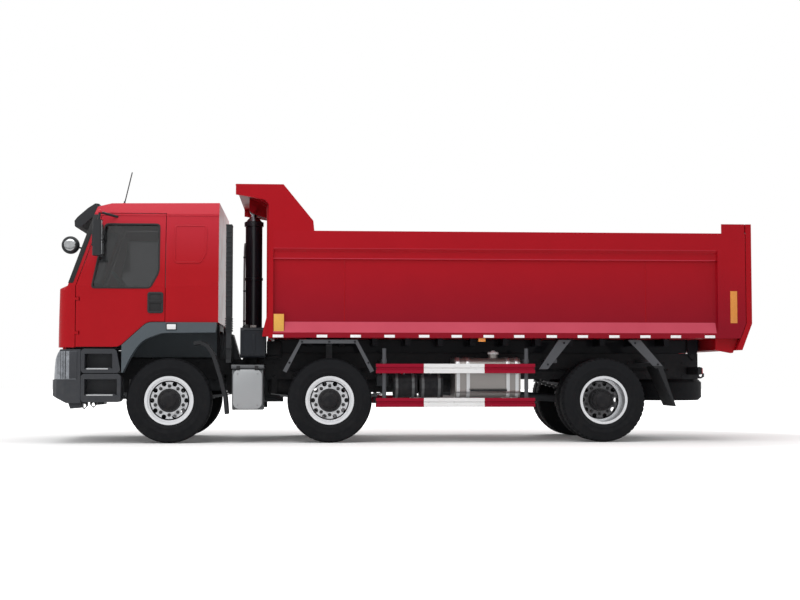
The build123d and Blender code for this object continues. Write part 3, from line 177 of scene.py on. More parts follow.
class Graph:
    """A material's node tree, with one way to add a node to it."""

    def __init__(self, material: Any) -> None:
        """Empties the material's tree and adds its shader and output.

        Args:
            material: the material to fill.
        """
        material.use_nodes = True
        self.tree = material.node_tree
        self.tree.nodes.clear()
        self.shader = self.tree.nodes.new("ShaderNodeBsdfPrincipled")
        output = self.tree.nodes.new("ShaderNodeOutputMaterial")
        self.tree.links.new(self.shader.outputs["BSDF"], output.inputs["Surface"])

    def node(self, kind: str, settings: dict[str, Any], inputs: Any, output: Any = 0) -> Value:
        """Adds a node, its settings first and its sockets after them.

        Args:
            kind: the node's type.
            settings: attributes of the node.
            inputs: values or links, by place in a list or by name in a dict.
            output: the output socket's place or name.

        Returns:
            The chosen output.
        """
        made = self.tree.nodes.new(kind)
        for name, setting in settings.items():
            setattr(made, name, setting)
        pairs = inputs.items() if isinstance(inputs, dict) else enumerate(inputs)
        for key, given in pairs:
            if isinstance(given, Value):
                self.tree.links.new(given.socket, made.inputs[key])
            else:
                made.inputs[key].default_value = given
        return Value(self, made.outputs[output])

    def place(self, axis: str) -> Value:
        """One object coordinate, in metres."""
        where = self.node("ShaderNodeTexCoord", {}, [], "Object")
        return self.node("ShaderNodeSeparateXYZ", {}, [where], axis)

    def noise(self, scale: float, detail: float = 3.0, stretch: Point = (1.0, 1.0, 1.0)) -> Value:
        """A noise pattern over the object's own coordinates.

        Args:
            scale: how fine it is.
            detail: how many finer layers it has.
            stretch: a scale for each axis.

        Returns:
            The pattern, from 0 to 1.
        """
        where = self.node("ShaderNodeTexCoord", {}, [], "Object")
        mapped = self.node("ShaderNodeMapping", {}, {"Vector": where, "Scale": stretch})
        inputs = {"Vector": mapped, "Scale": scale, "Detail": detail}
        return self.node("ShaderNodeTexNoise", {}, inputs, "Fac")

    def mix(self, factor: Any, first: Any, second: Any) -> Value:
        """A colour between two colours.

        Args:
            factor: 0 for the first colour and 1 for the second.
            first: a colour or a link.
            second: a colour or a link.

        Returns:
            The colour.
        """
        colours = [item if isinstance(item, Value) else (*item, 1.0) for item in (first, second)]
        made = self.tree.nodes.new("ShaderNodeMix")
        made.data_type = "RGBA"
        sockets = [item for item in made.inputs if item.enabled]
        for socket, given in zip(sockets, (factor, *colours)):
            if isinstance(given, Value):
                self.tree.links.new(given.socket, socket)
            else:
                socket.default_value = given
        return Value(self, [item for item in made.outputs if item.enabled][0])

    def bump(self, height: Value, strength: float, distance: float) -> Value:
        """A bumped normal from a height pattern."""
        inputs = {"Height": height, "Strength": strength, "Distance": distance}
        return self.node("ShaderNodeBump", {}, inputs)

    def haze(self) -> Value:
        """Broad dull patches, from 0 to 1."""
        return self.noise(5.0, 6.0).ramp(0.45, 0.8)

    def wear(self) -> Value:
        """A slow change in roughness, either way from 0."""
        return (self.noise(9.0, 5.0) - 0.5) * 0.12

    def peel(self) -> Value:
        """The normal of paint with a faint orange peel."""
        return self.bump(self.noise(260.0, 1.0), 0.06, 0.0008)

    def feed(self, **sockets: Any) -> None:
        """Sets or links the shader's sockets, named with underscores for blanks.

        Args:
            sockets: values or links by socket.
        """
        for name, given in sockets.items():
            socket = self.shader.inputs[name.replace("_", " ")]
            if isinstance(given, Value):
                self.tree.links.new(given.socket, socket)
            elif isinstance(given, tuple) and len(given) == 3:
                socket.default_value = (*given, 1.0)
            else:
                socket.default_value = given


@dataclass(frozen=True)
class Finish:
    """A surface's look: a colour that varies a little, its gloss and its grain."""

    name: str
    colour: Colour
    roughness: float = 0.5
    metallic: float = 0.0
    coat: float = 0.0
    vary: float = 0.12
    vary_scale: float = 2.5
    grain: float = 0.0
    grain_scale: float = 400.0
    dust: float = 0.0
    gloss: float = 0.35

    def material(self) -> Any:
        """The finish's material, made at its first use.

        Returns:
            The material.
        """
        name = f"{self.name}_finish"
        made = bpy.data.materials.get(name)
        if made is None:
            made = bpy.data.materials.new(name)
            self.draw(Graph(made))
        return made

    def tinted(self, graph: Graph) -> Value:
        """The base colour with its slow variation and the dust near the ground.

        Args:
            graph: the material's node tree.

        Returns:
            The colour.
        """
        darker = tuple(part * (1 - self.vary) for part in self.colour)
        lighter = tuple(min(part * (1 + self.vary), 1.0) for part in self.colour)
        cloud = graph.noise(self.vary_scale, 4.0)
        base = graph.mix(cloud, darker, lighter)
        if not self.dust:
            return base
        low = 1 - graph.place("Z").ramp(0.2, 1.3)
        speck = graph.noise(14.0, 6.0).ramp(0.35, 0.75)
        return graph.mix(low * speck * self.dust, base, DUST)

    def draw(self, graph: Graph) -> None:
        """Fills the node tree.

        Args:
            graph: the material's node tree.
        """
        graph.feed(Base_Color=self.tinted(graph), Metallic=self.metallic, Coat_Weight=self.coat)
        graph.feed(Roughness=self.roughness + graph.wear(), Coat_Roughness=0.06)
        graph.feed(Specular_IOR_Level=self.gloss)
        if self.grain:
            graph.feed(Normal=graph.bump(graph.noise(self.grain_scale, 2.0), self.grain, 0.0006))


@dataclass(frozen=True)
class Enamel(Finish):
    """Glossy body paint with a faint orange peel under a clear coat; it can carry painted highlights on its
    ledges, a painted highlight towards the top and painted shade towards the bottom.
    """

    # Painted highlights: height bands on the outer faces, pale pink for the sky reflected by the lower slope
    # and for the lit edges of the folds.
    ledge_highlights: tuple[tuple[float, float, float], ...] = ()
    highlight_y: float = 1.1945
    highlight_end: float = 8.318
    highlight_colour: Colour = (0.64, 0.095, 0.145)
    # Painted highlight: weight, heights and colour of paint made lighter and pinker towards the top, for
    # light falling from above.
    top_light: float = 0.0
    top_light_z: tuple[float, float] = (2.15, 3.05)
    top_light_colour: Colour = (0.64, 0.06, 0.095)
    # Painted shade: weight, heights and colour of paint made darker towards the bottom.
    low_shade: float = 0.0
    low_shade_z: tuple[float, float] = (1.45, 2.25)
    low_shade_colour: Colour = (0.17, 0.004, 0.016)

    def draw(self, graph: Graph) -> None:
        """Fills the node tree.

        Args:
            graph: the material's node tree.
        """
        base = self.tinted(graph)
        # Painted highlight: the paint turns lighter and pinker towards the top, for light falling from above.
        if self.top_light:
            base = graph.mix(graph.place("Z").ramp(*self.top_light_z) * self.top_light, base, self.top_light_colour)
        # Painted shade: the paint darkens towards the bottom.
        if self.low_shade:
            base = graph.mix((1 - graph.place("Z").ramp(*self.low_shade_z)) * self.low_shade, base, self.low_shade_colour)
        # Painted highlight: pale pink bands on the outer wall faces for the sky reflected by the lower slope
        # and the lit fold edges.
        if self.ledge_highlights:
            up = graph.place("Z")
            outer = graph.place("Y").maths("ABSOLUTE").above(self.highlight_y)
            outer = outer * graph.place("X").above(x_at(self.highlight_end))
            cloud = graph.noise(1.6, 4.0) * 0.5 + 0.6
            for low, high, weight in self.ledge_highlights:
                base = graph.mix(up.above(low) * up.below(high) * outer * cloud * weight, base, self.highlight_colour)
        graph.feed(Base_Color=base, Metallic=self.metallic, Coat_Weight=self.coat)
        graph.feed(Roughness=self.roughness + graph.haze() * 0.1, Coat_Roughness=0.05)
        graph.feed(Specular_IOR_Level=0.08, Coat_IOR=1.25, Normal=graph.peel())


@dataclass(frozen=True)
class BandedPaint(Finish):
    """Guard-rail paint: red at both ends, white between two stations, and grey posts behind the bars."""

    white: Colour = (0.8, 0.8, 0.8)
    white_from: float = 4.585
    white_to: float = 5.35
    post: Colour = (0.085, 0.088, 0.096)
    bars: tuple[float, float, float, float] = (0.445, 0.56, 0.868, 0.988)
    bar_y: float = 1.199

    def draw(self, graph: Graph) -> None:
        """Fills the node tree.

        Args:
            graph: the material's node tree.
        """
        along = graph.place("X")
        middle = along.below(x_at(self.white_from)) * along.above(x_at(self.white_to))
        scuffed = graph.mix(graph.noise(30.0, 6.0).ramp(0.62, 0.75) * 0.35, self.white, DUST)
        bars = graph.mix(middle, self.tinted(graph), scuffed)
        up = graph.place("Z")
        low, low_top, high, high_top = self.bars
        level = up.above(low) * up.below(low_top) + up.above(high) * up.below(high_top)
        outer = graph.place("Y").maths("ABSOLUTE").above(self.bar_y) * level
        graph.feed(Base_Color=graph.mix(outer, self.post, bars), Roughness=self.roughness)
        graph.feed(Coat_Weight=self.coat, Specular_IOR_Level=0.1, Coat_IOR=1.25)


@dataclass(frozen=True)
class TwoToneAndShade(Finish):
    """Paint with a second colour below a height between two stations, and ahead of a third. On the bed floor
    the second colour is painted shade under the bed; on the mudguards it is the flaps' own black.
    """

    # Default second colour: near-black painted shade, used on the bed floor's underside.
    second: Colour = (0.01, 0.011, 0.014)
    below: float = 1.0
    behind: float = -1.0
    ahead: float = 20.0
    nose: float = -9.0
    gloss: float = 0.08

    def draw(self, graph: Graph) -> None:
        """Fills the node tree.

        Args:
            graph: the material's node tree.
        """
        along = graph.place("X")
        # The second colour's region: painted shade under the bed floor, the flaps' real black on the
        # mudguards.
        low = graph.place("Z").below(self.below) * along.below(x_at(self.behind))
        low = low * along.above(x_at(self.ahead))
        low = low.maths("MAXIMUM", along.above(x_at(self.nose)))
        graph.feed(Base_Color=graph.mix(low, self.tinted(graph), self.second), Coat_Weight=self.coat)
        graph.feed(Roughness=self.roughness + low * 0.2 + graph.haze() * 0.1)
        graph.feed(Specular_IOR_Level=self.gloss, Coat_IOR=1.3, Normal=graph.peel())


@dataclass(frozen=True)
class WheelPaint(Finish):
    """Silver rim paint over a duller disc, painted shade in the groove between them, and a dark hub."""

    hub: Colour = (0.012, 0.012, 0.014)
    disc: Colour = (0.6, 0.61, 0.63)
    hub_r: float = 0.148
    disc_r: float = 0.231
    # Outer radius of the ring painted near-black as the groove's shade.
    groove_r: float = 0.247
    station: float = 0.0

    def draw(self, graph: Graph) -> None:
        """Fills the node tree.

        Args:
            graph: the material's node tree.
        """
        along = graph.place("X") - x_at(self.station)
        up = graph.place("Z") - AXLE_Z
        square = along * along + up * up
        dark = square.below(self.hub_r ** 2)
        # Painted shade: a near-black ring between the disc and the rim for the shade in the groove.
        groove = square.above(self.disc_r ** 2) * square.below(self.groove_r ** 2)
        stain = graph.noise(24.0, 6.0).ramp(0.45, 0.7) * 0.35
        plain = graph.mix(stain, self.disc, self.hub)
        colour = graph.mix(square.below(self.disc_r ** 2), self.tinted(graph), plain)
        colour = graph.mix((dark + groove).maths("MINIMUM", 1.0), colour, self.hub)
        graph.feed(Base_Color=colour, Metallic=self.metallic - dark * 0.7)
        graph.feed(Roughness=self.roughness + graph.wear())
        graph.feed(Normal=graph.bump(graph.noise(300.0, 2.0), 0.06, 0.0006))


@dataclass(frozen=True)
class Brushed(Finish):
    """Metal with fine lines drawn along one direction."""

    stretch: Point = (1.0, 60.0, 60.0)

    def draw(self, graph: Graph) -> None:
        """Fills the node tree.

        Args:
            graph: the material's node tree.
        """
        lines = graph.noise(12.0, 4.0, self.stretch)
        cloud = graph.noise(3.0, 4.0)
        graph.feed(Base_Color=self.tinted(graph), Metallic=self.metallic)
        graph.feed(Roughness=self.roughness + (lines - 0.5) * 0.18 + (cloud - 0.5) * 0.1)
        graph.feed(Normal=graph.bump(lines, 0.05, 0.0005))


@dataclass(frozen=True)
class Glazing(Finish):
    """Tinted window glass."""

    def draw(self, graph: Graph) -> None:
        """Fills the node tree.

        Args:
            graph: the material's node tree.
        """
        streak = graph.noise(3.0, 4.0, (1.0, 1.0, 0.3))
        graph.feed(Base_Color=self.colour, Transmission_Weight=0.92, IOR=1.45)
        graph.feed(Roughness=0.015 + streak * 0.03)


@dataclass(frozen=True)
class Woven(Finish):
    """Seat cloth with a fine crossed weave."""

    def draw(self, graph: Graph) -> None:
        """Fills the node tree.

        Args:
            graph: the material's node tree.
        """
        over = graph.noise(220.0, 1.0, (1.0, 1.0, 8.0))
        under = graph.noise(220.0, 1.0, (8.0, 8.0, 1.0))
        weave = over * 0.5 + under * 0.5
        lighter = tuple(part * 1.6 for part in self.colour)
        graph.feed(Base_Color=graph.mix(weave, self.colour, lighter), Roughness=self.roughness)
        graph.feed(Normal=graph.bump(weave, 0.3, 0.001))


@dataclass(frozen=True)
class Reflector(Finish):
    """Prismatic tape or lamp plastic with a fine diamond relief."""

    def draw(self, graph: Graph) -> None:
        """Fills the node tree.

        Args:
            graph: the material's node tree.
        """
        where = graph.node("ShaderNodeTexCoord", {}, [], "Object")
        cells = graph.node("ShaderNodeTexVoronoi", {}, {"Vector": where, "Scale": 170.0}, "Distance")
        paler = tuple(min(part * 1.3 + 0.03, 1.0) for part in self.colour)
        graph.feed(Base_Color=graph.mix(cells, self.colour, paler))
        graph.feed(Roughness=self.roughness, Coat_Weight=self.coat)
        graph.feed(Normal=graph.bump(cells, 0.12, 0.001))


@dataclass(frozen=True)
class Lens(Finish):
    """Moulded lamp plastic with upright flutes over a bright backing."""

    def draw(self, graph: Graph) -> None:
        """Fills the node tree.

        Args:
            graph: the material's node tree.
        """
        flutes = graph.place("X") * 520.0 + graph.place("Y") * 520.0
        wave = flutes.maths("SINE")
        graph.feed(Base_Color=self.tinted(graph), Metallic=self.metallic, Coat_Weight=self.coat)
        graph.feed(Roughness=self.roughness + graph.noise(9.0, 3.0) * 0.05, Coat_Roughness=0.03)
        graph.feed(Normal=graph.bump(wave, 0.25, 0.002))


# The cab's red carries a painted highlight towards its top.
RED = Enamel("red_enamel", (0.365, 0.005, 0.01), 0.3, coat=0.3, vary=0.06, dust=0.08, top_light=0.42)
BED_RED = Enamel("bed_enamel", (0.355, 0.004, 0.01), 0.34, coat=0.22, vary=0.08, dust=0.08)
# The bed walls carry painted shade towards the bottom and painted highlights along the lower slope and the
# fold lines.
BED_WALL = Enamel("bed_wall_enamel", (0.36, 0.005, 0.012), 0.34, coat=0.22, vary=0.08, low_shade=0.6,
                  ledge_highlights=((1.376, 1.5115, 0.8), (2.299, 2.309, 0.45), (2.4255, 2.434, 0.2)))
# Painted shade: the bed floor below z 1.311 is painted near-black for the shadow under the bed.
BED_UNDER = TwoToneAndShade("bed_underside", (0.355, 0.004, 0.01), 0.36, coat=0.2, vary=0.08, below=1.311,
                    ahead=8.326)
GUARD_TONES = TwoToneAndShade("mudguard_tones", (0.075, 0.078, 0.086), 0.5, vary=0.12, below=0.962, behind=7.5,
                      nose=2.35, second=(0.016, 0.017, 0.019), gloss=0.3)
DARK_TRIM = Finish("dark_moulding", (0.014, 0.0155, 0.018), 0.5, vary=0.15, grain=0.25, dust=0.12,
                   gloss=0.3)
FLARE_GREY = Finish("flare_moulding", (0.066, 0.082, 0.094), 0.55, vary=0.1, grain=0.2, dust=0.12)
STEP_GREY = Finish("step_moulding", (0.026, 0.0285, 0.034), 0.52, vary=0.12, grain=0.25, dust=0.12)
CHASSIS_BLACK = Finish("chassis_paint", (0.01, 0.011, 0.014), 0.5, vary=0.25, grain=0.1, dust=0.2,
                       gloss=0.2)
RUBBER = Finish("tyre_rubber", (0.007, 0.0075, 0.009), 0.7, vary=0.2, vary_scale=6.0, grain=0.2, dust=0.03,
                gloss=0.12)
DISCS = {1: (0.6, 0.61, 0.63), 2: (0.6, 0.61, 0.63), 3: (0.1, 0.1, 0.105)}
WHEEL_PAINTS = {number: WheelPaint(f"wheel_silver_{number}", (0.7, 0.71, 0.73), 0.3, metallic=0.75,
                                   vary=0.1, station=station, disc=DISCS[number])
                for number, station in AXLES.items()}
HUB_BLACK = Finish("hub_black", (0.01, 0.01, 0.012), 0.46, vary=0.3, grain=0.12, dust=0.1, gloss=0.15)
NUT_DARK = Finish("nut_dark", (0.05, 0.05, 0.052), 0.42, metallic=0.6, vary=0.3)
NUT_STEEL = Finish("nut_steel", (0.3, 0.3, 0.31), 0.38, metallic=0.9, vary=0.2)
TANK_ALLOY = Brushed("tank_alloy", (0.27, 0.255, 0.245), 0.36, metallic=0.8, vary=0.08)
SILVER_LID = Brushed("silver_lid", (0.56, 0.57, 0.58), 0.3, metallic=0.9, vary=0.06)
BOX_GREY = Finish("box_grey", (0.085, 0.09, 0.096), 0.45, vary=0.08, grain=0.1, dust=0.2)
OIL_BOX = Finish("oil_box_paint", (0.009, 0.011, 0.015), 0.42, vary=0.15, grain=0.08, dust=0.1, gloss=0.2)
CAST_IRON = Finish("engine_casting", (0.055, 0.06, 0.066), 0.62, metallic=0.3, vary=0.25, grain=0.3)
HOIST_NAVY = Finish("hoist_paint", (0.012, 0.014, 0.02), 0.3, coat=0.3, vary=0.15, dust=0.1)
ROD_CHROME = Brushed("rod_chrome", (0.2, 0.2, 0.22), 0.18, metallic=1.0, vary=0.04)
GUARD_PAINT = BandedPaint("guard_paint", (0.285, 0.004, 0.022), 0.36, coat=0.12, vary=0.08)
WINDOW = Glazing("tinted_glass", (0.17, 0.175, 0.18))
LAMP_SILVER = Lens("lamp_silver", (0.25, 0.265, 0.29), 0.16, metallic=0.7, coat=0.6, vary=0.75,
                   vary_scale=16.0)
TAIL_LENS = Lens("tail_lens", (0.5, 0.012, 0.014), 0.16, coat=0.9, vary=0.05)
AMBER_LENS = Lens("amber_lens", (0.8, 0.26, 0.02), 0.16, coat=0.9, vary=0.05)
PALE_LENS = Lens("pale_lens", (0.78, 0.79, 0.8), 0.14, coat=0.9, vary=0.04)
TREAD_ALLOY = Brushed("tread_alloy", (0.42, 0.43, 0.44), 0.36, metallic=0.85, vary=0.08)
LEAF_STEEL = Brushed("leaf_steel", (0.13, 0.135, 0.14), 0.45, metallic=0.6, vary=0.15)
SEAT_CLOTH = Woven("seat_cloth", (0.03, 0.032, 0.038), 0.85)
WHITE_TAPE = Reflector("white_reflector", (0.74, 0.74, 0.76), 0.3, coat=0.4)
ORANGE_TAPE = Reflector("orange_reflector", (0.58, 0.2, 0.015), 0.32, coat=0.2)
RED_TAPE = Reflector("red_reflector", (0.45, 0.01, 0.01), 0.28, coat=0.5)
YELLOW_TAG = Reflector("yellow_tag", (0.58, 0.3, 0.035), 0.42, coat=0.1)
PALE_TAG = Reflector("pale_tag", (0.56, 0.56, 0.54), 0.42, coat=0.1)
MIRROR_GLASS = Finish("mirror_glass", (0.7, 0.72, 0.74), 0.05, metallic=1.0, vary=0.02)
ROUND_GLASS = Finish("round_glass", (0.4, 0.41, 0.42), 0.1, metallic=1.0, vary=0.55, vary_scale=18.0)
BOX_FACE = Brushed("box_face", (0.34, 0.35, 0.36), 0.4, metallic=0.6, vary=0.1)
BRIGHT = Finish("bright_reflector", (0.72, 0.73, 0.74), 0.12, metallic=1.0, vary=0.02)
SEAL_BLACK = Finish("seal_rubber", (0.008, 0.008, 0.009), 0.6, vary=0.2)


class Axis(Enum):
    """The way a round piece's axis points."""

    X = 0
    Y = 1
    Z = 2


class Shop:
    """Modelling by operators: each method adds a primitive, shapes it and returns a finished mesh."""

    @staticmethod
    def clear() -> None:
        """Leaves edit mode and deselects everything."""
        if bpy.context.object and bpy.context.object.mode != "OBJECT":
            bpy.ops.object.mode_set(mode="OBJECT")
        bpy.ops.object.select_all(action="DESELECT")

    @staticmethod
    def settle(piece: Any, name: str) -> Any:
        """Names a piece and moves its place into its mesh.

        Args:
            piece: the mesh.
            name: its new name.

        Returns:
            The mesh.
        """
        piece.name = name
        piece.data.name = name
        Shop.only(piece)
        bpy.ops.object.transform_apply(location=True, rotation=True, scale=True)
        return piece

    @staticmethod
    def only(piece: Any) -> None:
        """Makes a piece the one that is selected and active.

        Args:
            piece: the mesh.
        """
        Shop.clear()
        piece.select_set(True)
        bpy.context.view_layer.objects.active = piece

    @staticmethod
    def modify(piece: Any, kind: str, **settings: Any) -> Any:
        """Adds a modifier, sets it and applies it.

        Args:
            piece: the mesh.
            kind: the modifier's type.
            settings: the modifier's settings.

        Returns:
            The mesh.
        """
        Shop.only(piece)
        modifier = piece.modifiers.new(kind.title(), kind)
        for name, setting in settings.items():
            setattr(modifier, name, setting)
        bpy.ops.object.modifier_apply(modifier=modifier.name)
        return piece

    @staticmethod
    def smooth(piece: Any, degrees: float = 35.0) -> Any:
        """Shades a piece smooth up to an angle.

        Args:
            piece: the mesh.
            degrees: the largest angle that is shaded smooth.

        Returns:
            The mesh.
        """
        Shop.only(piece)
        bpy.ops.object.shade_smooth_by_angle(angle=math.radians(degrees))
        return piece

    @staticmethod
    def box(name: str, low: Point, high: Point, edge: float = 0.004, segments: int = 2) -> Any:
        """A block between two corners with rounded edges.

        Args:
            name: the piece's name.
            low: its lowest corner.
            high: its highest corner.
            edge: width of the rounded edges.
            segments: faces across each rounded edge.

        Returns:
            The piece.
        """
        Shop.clear()
        middle = [(a + b) / 2 for a, b in zip(low, high)]
        bpy.ops.mesh.primitive_cube_add(size=1.0, location=middle)
        piece = bpy.context.object
        piece.scale = [b - a for a, b in zip(low, high)]
        Shop.settle(piece, name)
        Shop.modify(piece, "BEVEL", width=edge, segments=segments, limit_method="ANGLE")
        return Shop.smooth(piece)

    @staticmethod
    def block(name: str, s: Pair, y: Pair, z: Pair, edge: float = 0.004, segments: int = 2) -> Any:
        """A block between two stations, two places across and two heights, each pair in either order."""
        spans = [sorted(x_at(station) for station in s), sorted(y), sorted(z)]
        return Shop.box(name, [low for low, _ in spans], [high for _, high in spans], edge, segments)

    @staticmethod
    def turned(name: str, profile: Sequence[Pair], centre: Point, axis: Axis, segments: int = 48,
               closed: bool = False) -> Any:
        """A lathe piece: a ring drawn out and scaled along a profile of (radius, height).

        Args:
            name: the piece's name.
            profile: radii and heights in order, starting and ending at a ring.
            centre: where height 0 lies.
            axis: the way the heights run.
            segments: sides of the ring.
            closed: whether the last ring joins the first, with no end caps.

        Returns:
            The piece.
        """
        Shop.clear()
        radius, height = profile[0]
        fill = "NOTHING" if closed else "NGON"
        bpy.ops.mesh.primitive_circle_add(vertices=segments, radius=radius, location=(0, 0, height),
                                          fill_type=fill)
        piece = bpy.context.object
        bpy.ops.object.mode_set(mode="EDIT")
        bpy.ops.mesh.select_all(action="SELECT")
        for next_radius, next_height in profile[1:]:
            if closed:
                bpy.ops.mesh.extrude_edges_move()
            else:
                bpy.ops.mesh.extrude_region_move()
            bpy.ops.transform.translate(value=(0, 0, next_height - height))
            bpy.ops.transform.resize(value=(next_radius / radius, next_radius / radius, 1))
            radius, height = next_radius, next_height
        bpy.ops.mesh.select_all(action="SELECT")
        if closed:
            bpy.ops.mesh.remove_doubles(threshold=1e-5)
        bpy.ops.mesh.normals_make_consistent(inside=False)
        bpy.ops.object.mode_set(mode="OBJECT")
        turn = {Axis.X: (0, math.pi / 2, 0), Axis.Y: (-math.pi / 2, 0, 0), Axis.Z: (0, 0, 0)}[axis]
        Shop.settle(piece, name)
        piece.rotation_euler = turn
        piece.location = centre
        Shop.settle(piece, name)
        return Shop.smooth(piece)

    @staticmethod
    def hoop(name: str, radius: float, shape: Point, centre: Point, axis: Axis, segments: int) -> Any:
        """A band round a cylinder, its shape given as how far it stands out, its width and its bevel.

        Args:
            name: the piece's name.
            radius: the cylinder's radius.
            shape: how far it stands out, its width and its bevel.
            centre: where it starts on its axis.
            axis: the way it points.
            segments: its number of sides.

        Returns:
            The piece.
        """
        out, width, lip = shape
        foot, inside = radius - 0.002, radius - 0.006
        profile = [(foot, 0.0), (radius + out, lip), (radius + out, width - lip), (foot, width),
                   (inside, width), (inside, 0.0), (foot, 0.0)]
        return Shop.turned(name, profile, centre, axis, segments, closed=True)

    @staticmethod
    def face(corners: Sequence[Point]) -> Any:
        """A flat face with the given corners, left selected in edit mode.

        Args:
            corners: the corners in order.

        Returns:
            The mesh.
        """
        Shop.clear()
        bpy.ops.mesh.primitive_circle_add(vertices=len(corners), radius=1.0, fill_type="NGON")
        piece = bpy.context.object
        for vertex, corner in zip(piece.data.vertices, corners):
            vertex.co = corner
        bpy.ops.object.mode_set(mode="EDIT")
        bpy.ops.mesh.select_all(action="SELECT")
        return piece

    @staticmethod
    def drawn_out(piece: Any, name: str, shift: Point, edge: float) -> Any:
        """Draws what is in edit mode out along a shift and rounds its edges.

        Args:
            piece: the mesh.
            name: its name.
            shift: how far and which way it is drawn out.
            edge: width of the rounded edges.

        Returns:
            The piece.
        """
        bpy.ops.mesh.select_all(action="SELECT")
        bpy.ops.mesh.extrude_region_move(TRANSFORM_OT_translate={"value": shift})
        bpy.ops.mesh.select_all(action="SELECT")
        bpy.ops.mesh.normals_make_consistent(inside=False)
        bpy.ops.object.mode_set(mode="OBJECT")
        Shop.settle(piece, name)
        if edge:
            Shop.modify(piece, "BEVEL", width=edge, segments=2, limit_method="ANGLE")
        return Shop.smooth(piece)

    @staticmethod
    def prism(name: str, corners: Sequence[Point], shift: Point, edge: float = 0.003) -> Any:
        """A flat outline of corners drawn out along a shift, its edges rounded."""
        return Shop.drawn_out(Shop.face(corners), name, shift, edge)

    @staticmethod
    def rim(name: str, outline: Sequence[Pair], width: float, y: float, depth: float,
            soft: float = 0.0) -> Any:
        """A frame drawn in side view: an outline as (x, z) with its middle taken out.

        Args:
            name: the piece's name.
            outline: the outer corners as (x, z).
            width: how wide the frame is.
            y: the face that is drawn first.
            depth: how far it is drawn out, either way.
            soft: radius of the outline's corners.

        Returns:
            The piece.
        """
        piece = Shop.face([(x, y, z) for x, z in outline])
        if soft:
            bpy.ops.mesh.bevel(offset=soft, segments=5, affect="VERTICES")
        bpy.ops.mesh.select_mode(type="FACE")
        bpy.ops.mesh.select_all(action="SELECT")
        bpy.ops.mesh.inset(thickness=width, depth=0.0)
        bpy.ops.mesh.delete(type="FACE")
        return Shop.drawn_out(piece, name, (0, depth, 0), min(abs(depth), width) * 0.3)

    @staticmethod
    def plate(name: str, outline: Sequence[Pair], y: float, depth: float, edge: float = 0.003) -> Any:
        """A flat piece with corners in (x, z), drawn out along Y from one face."""
        return Shop.prism(name, [(x, y, z) for x, z in outline], (0, depth, 0), edge)

    @staticmethod
    def pipe(name: str, path: Sequence[Point], radius: float) -> Any:
        """A round pipe along a path whose corners are rounded.

        Args:
            name: the piece's name.
            path: the points it bends towards.
            radius: the pipe's radius.

        Returns:
            The piece.
        """
        Shop.clear()
        bpy.ops.curve.primitive_nurbs_path_add()
        piece = bpy.context.object
        curve = piece.data
        curve.splines.clear()
        spline = curve.splines.new("NURBS")
        spline.points.add(len(path) - 1)
        for point, place in zip(spline.points, path):
            point.co = (*place, 1.0)
        spline.order_u = min(3, len(path))
        spline.use_endpoint_u = True
        spline.resolution_u = 6
        curve.bevel_depth = radius
        curve.bevel_resolution = 3
        curve.use_fill_caps = True
        bpy.ops.object.convert(target="MESH")
        piece = bpy.context.object
        Shop.settle(piece, name)
        return Shop.smooth(piece, 50.0)

    @staticmethod
    def join(name: str, pieces: Iterable[Any]) -> Any:
        """Joins several meshes into one piece.

        Args:
            name: the piece's name.
            pieces: the meshes, of which the first is kept.

        Returns:
            The piece.
        """
        made = list(pieces)
        Shop.only(made[0])
        for piece in made:
            piece.select_set(True)
        bpy.ops.object.join()
        made[0].name = name
        made[0].data.name = name
        return made[0]

    @staticmethod
    def copy(piece: Any, name: str, matrix: Matrix) -> Any:
        """A copy with its own mesh, moved by a matrix.

        Args:
            piece: the mesh.
            name: the copy's name.
            matrix: the move.

        Returns:
            The copy.
        """
        mesh = piece.data.copy()
        mesh.transform(matrix)
        if matrix.determinant() < 0:
            mesh.flip_normals()
        twin = bpy.data.objects.new(name, mesh)
        bpy.context.collection.objects.link(twin)
        return twin

    @staticmethod
    def moved(piece: Any, name: str, matrix: Matrix) -> Any:
        """A copy moved by a matrix, in place of the piece.

        Args:
            piece: the mesh.
            name: the copy's name.
            matrix: the move.

        Returns:
            The copy.
        """
        twin = Shop.copy(piece, name, matrix)
        bpy.data.objects.remove(piece)
        return twin

    @staticmethod
    def dress(piece: Any, finish: Finish) -> Any:
        """Gives a piece one finish all over.

        Args:
            piece: the mesh.
            finish: the finish.

        Returns:
            The mesh.
        """
        piece.data.materials.clear()
        piece.data.materials.append(finish.material())
        return piece


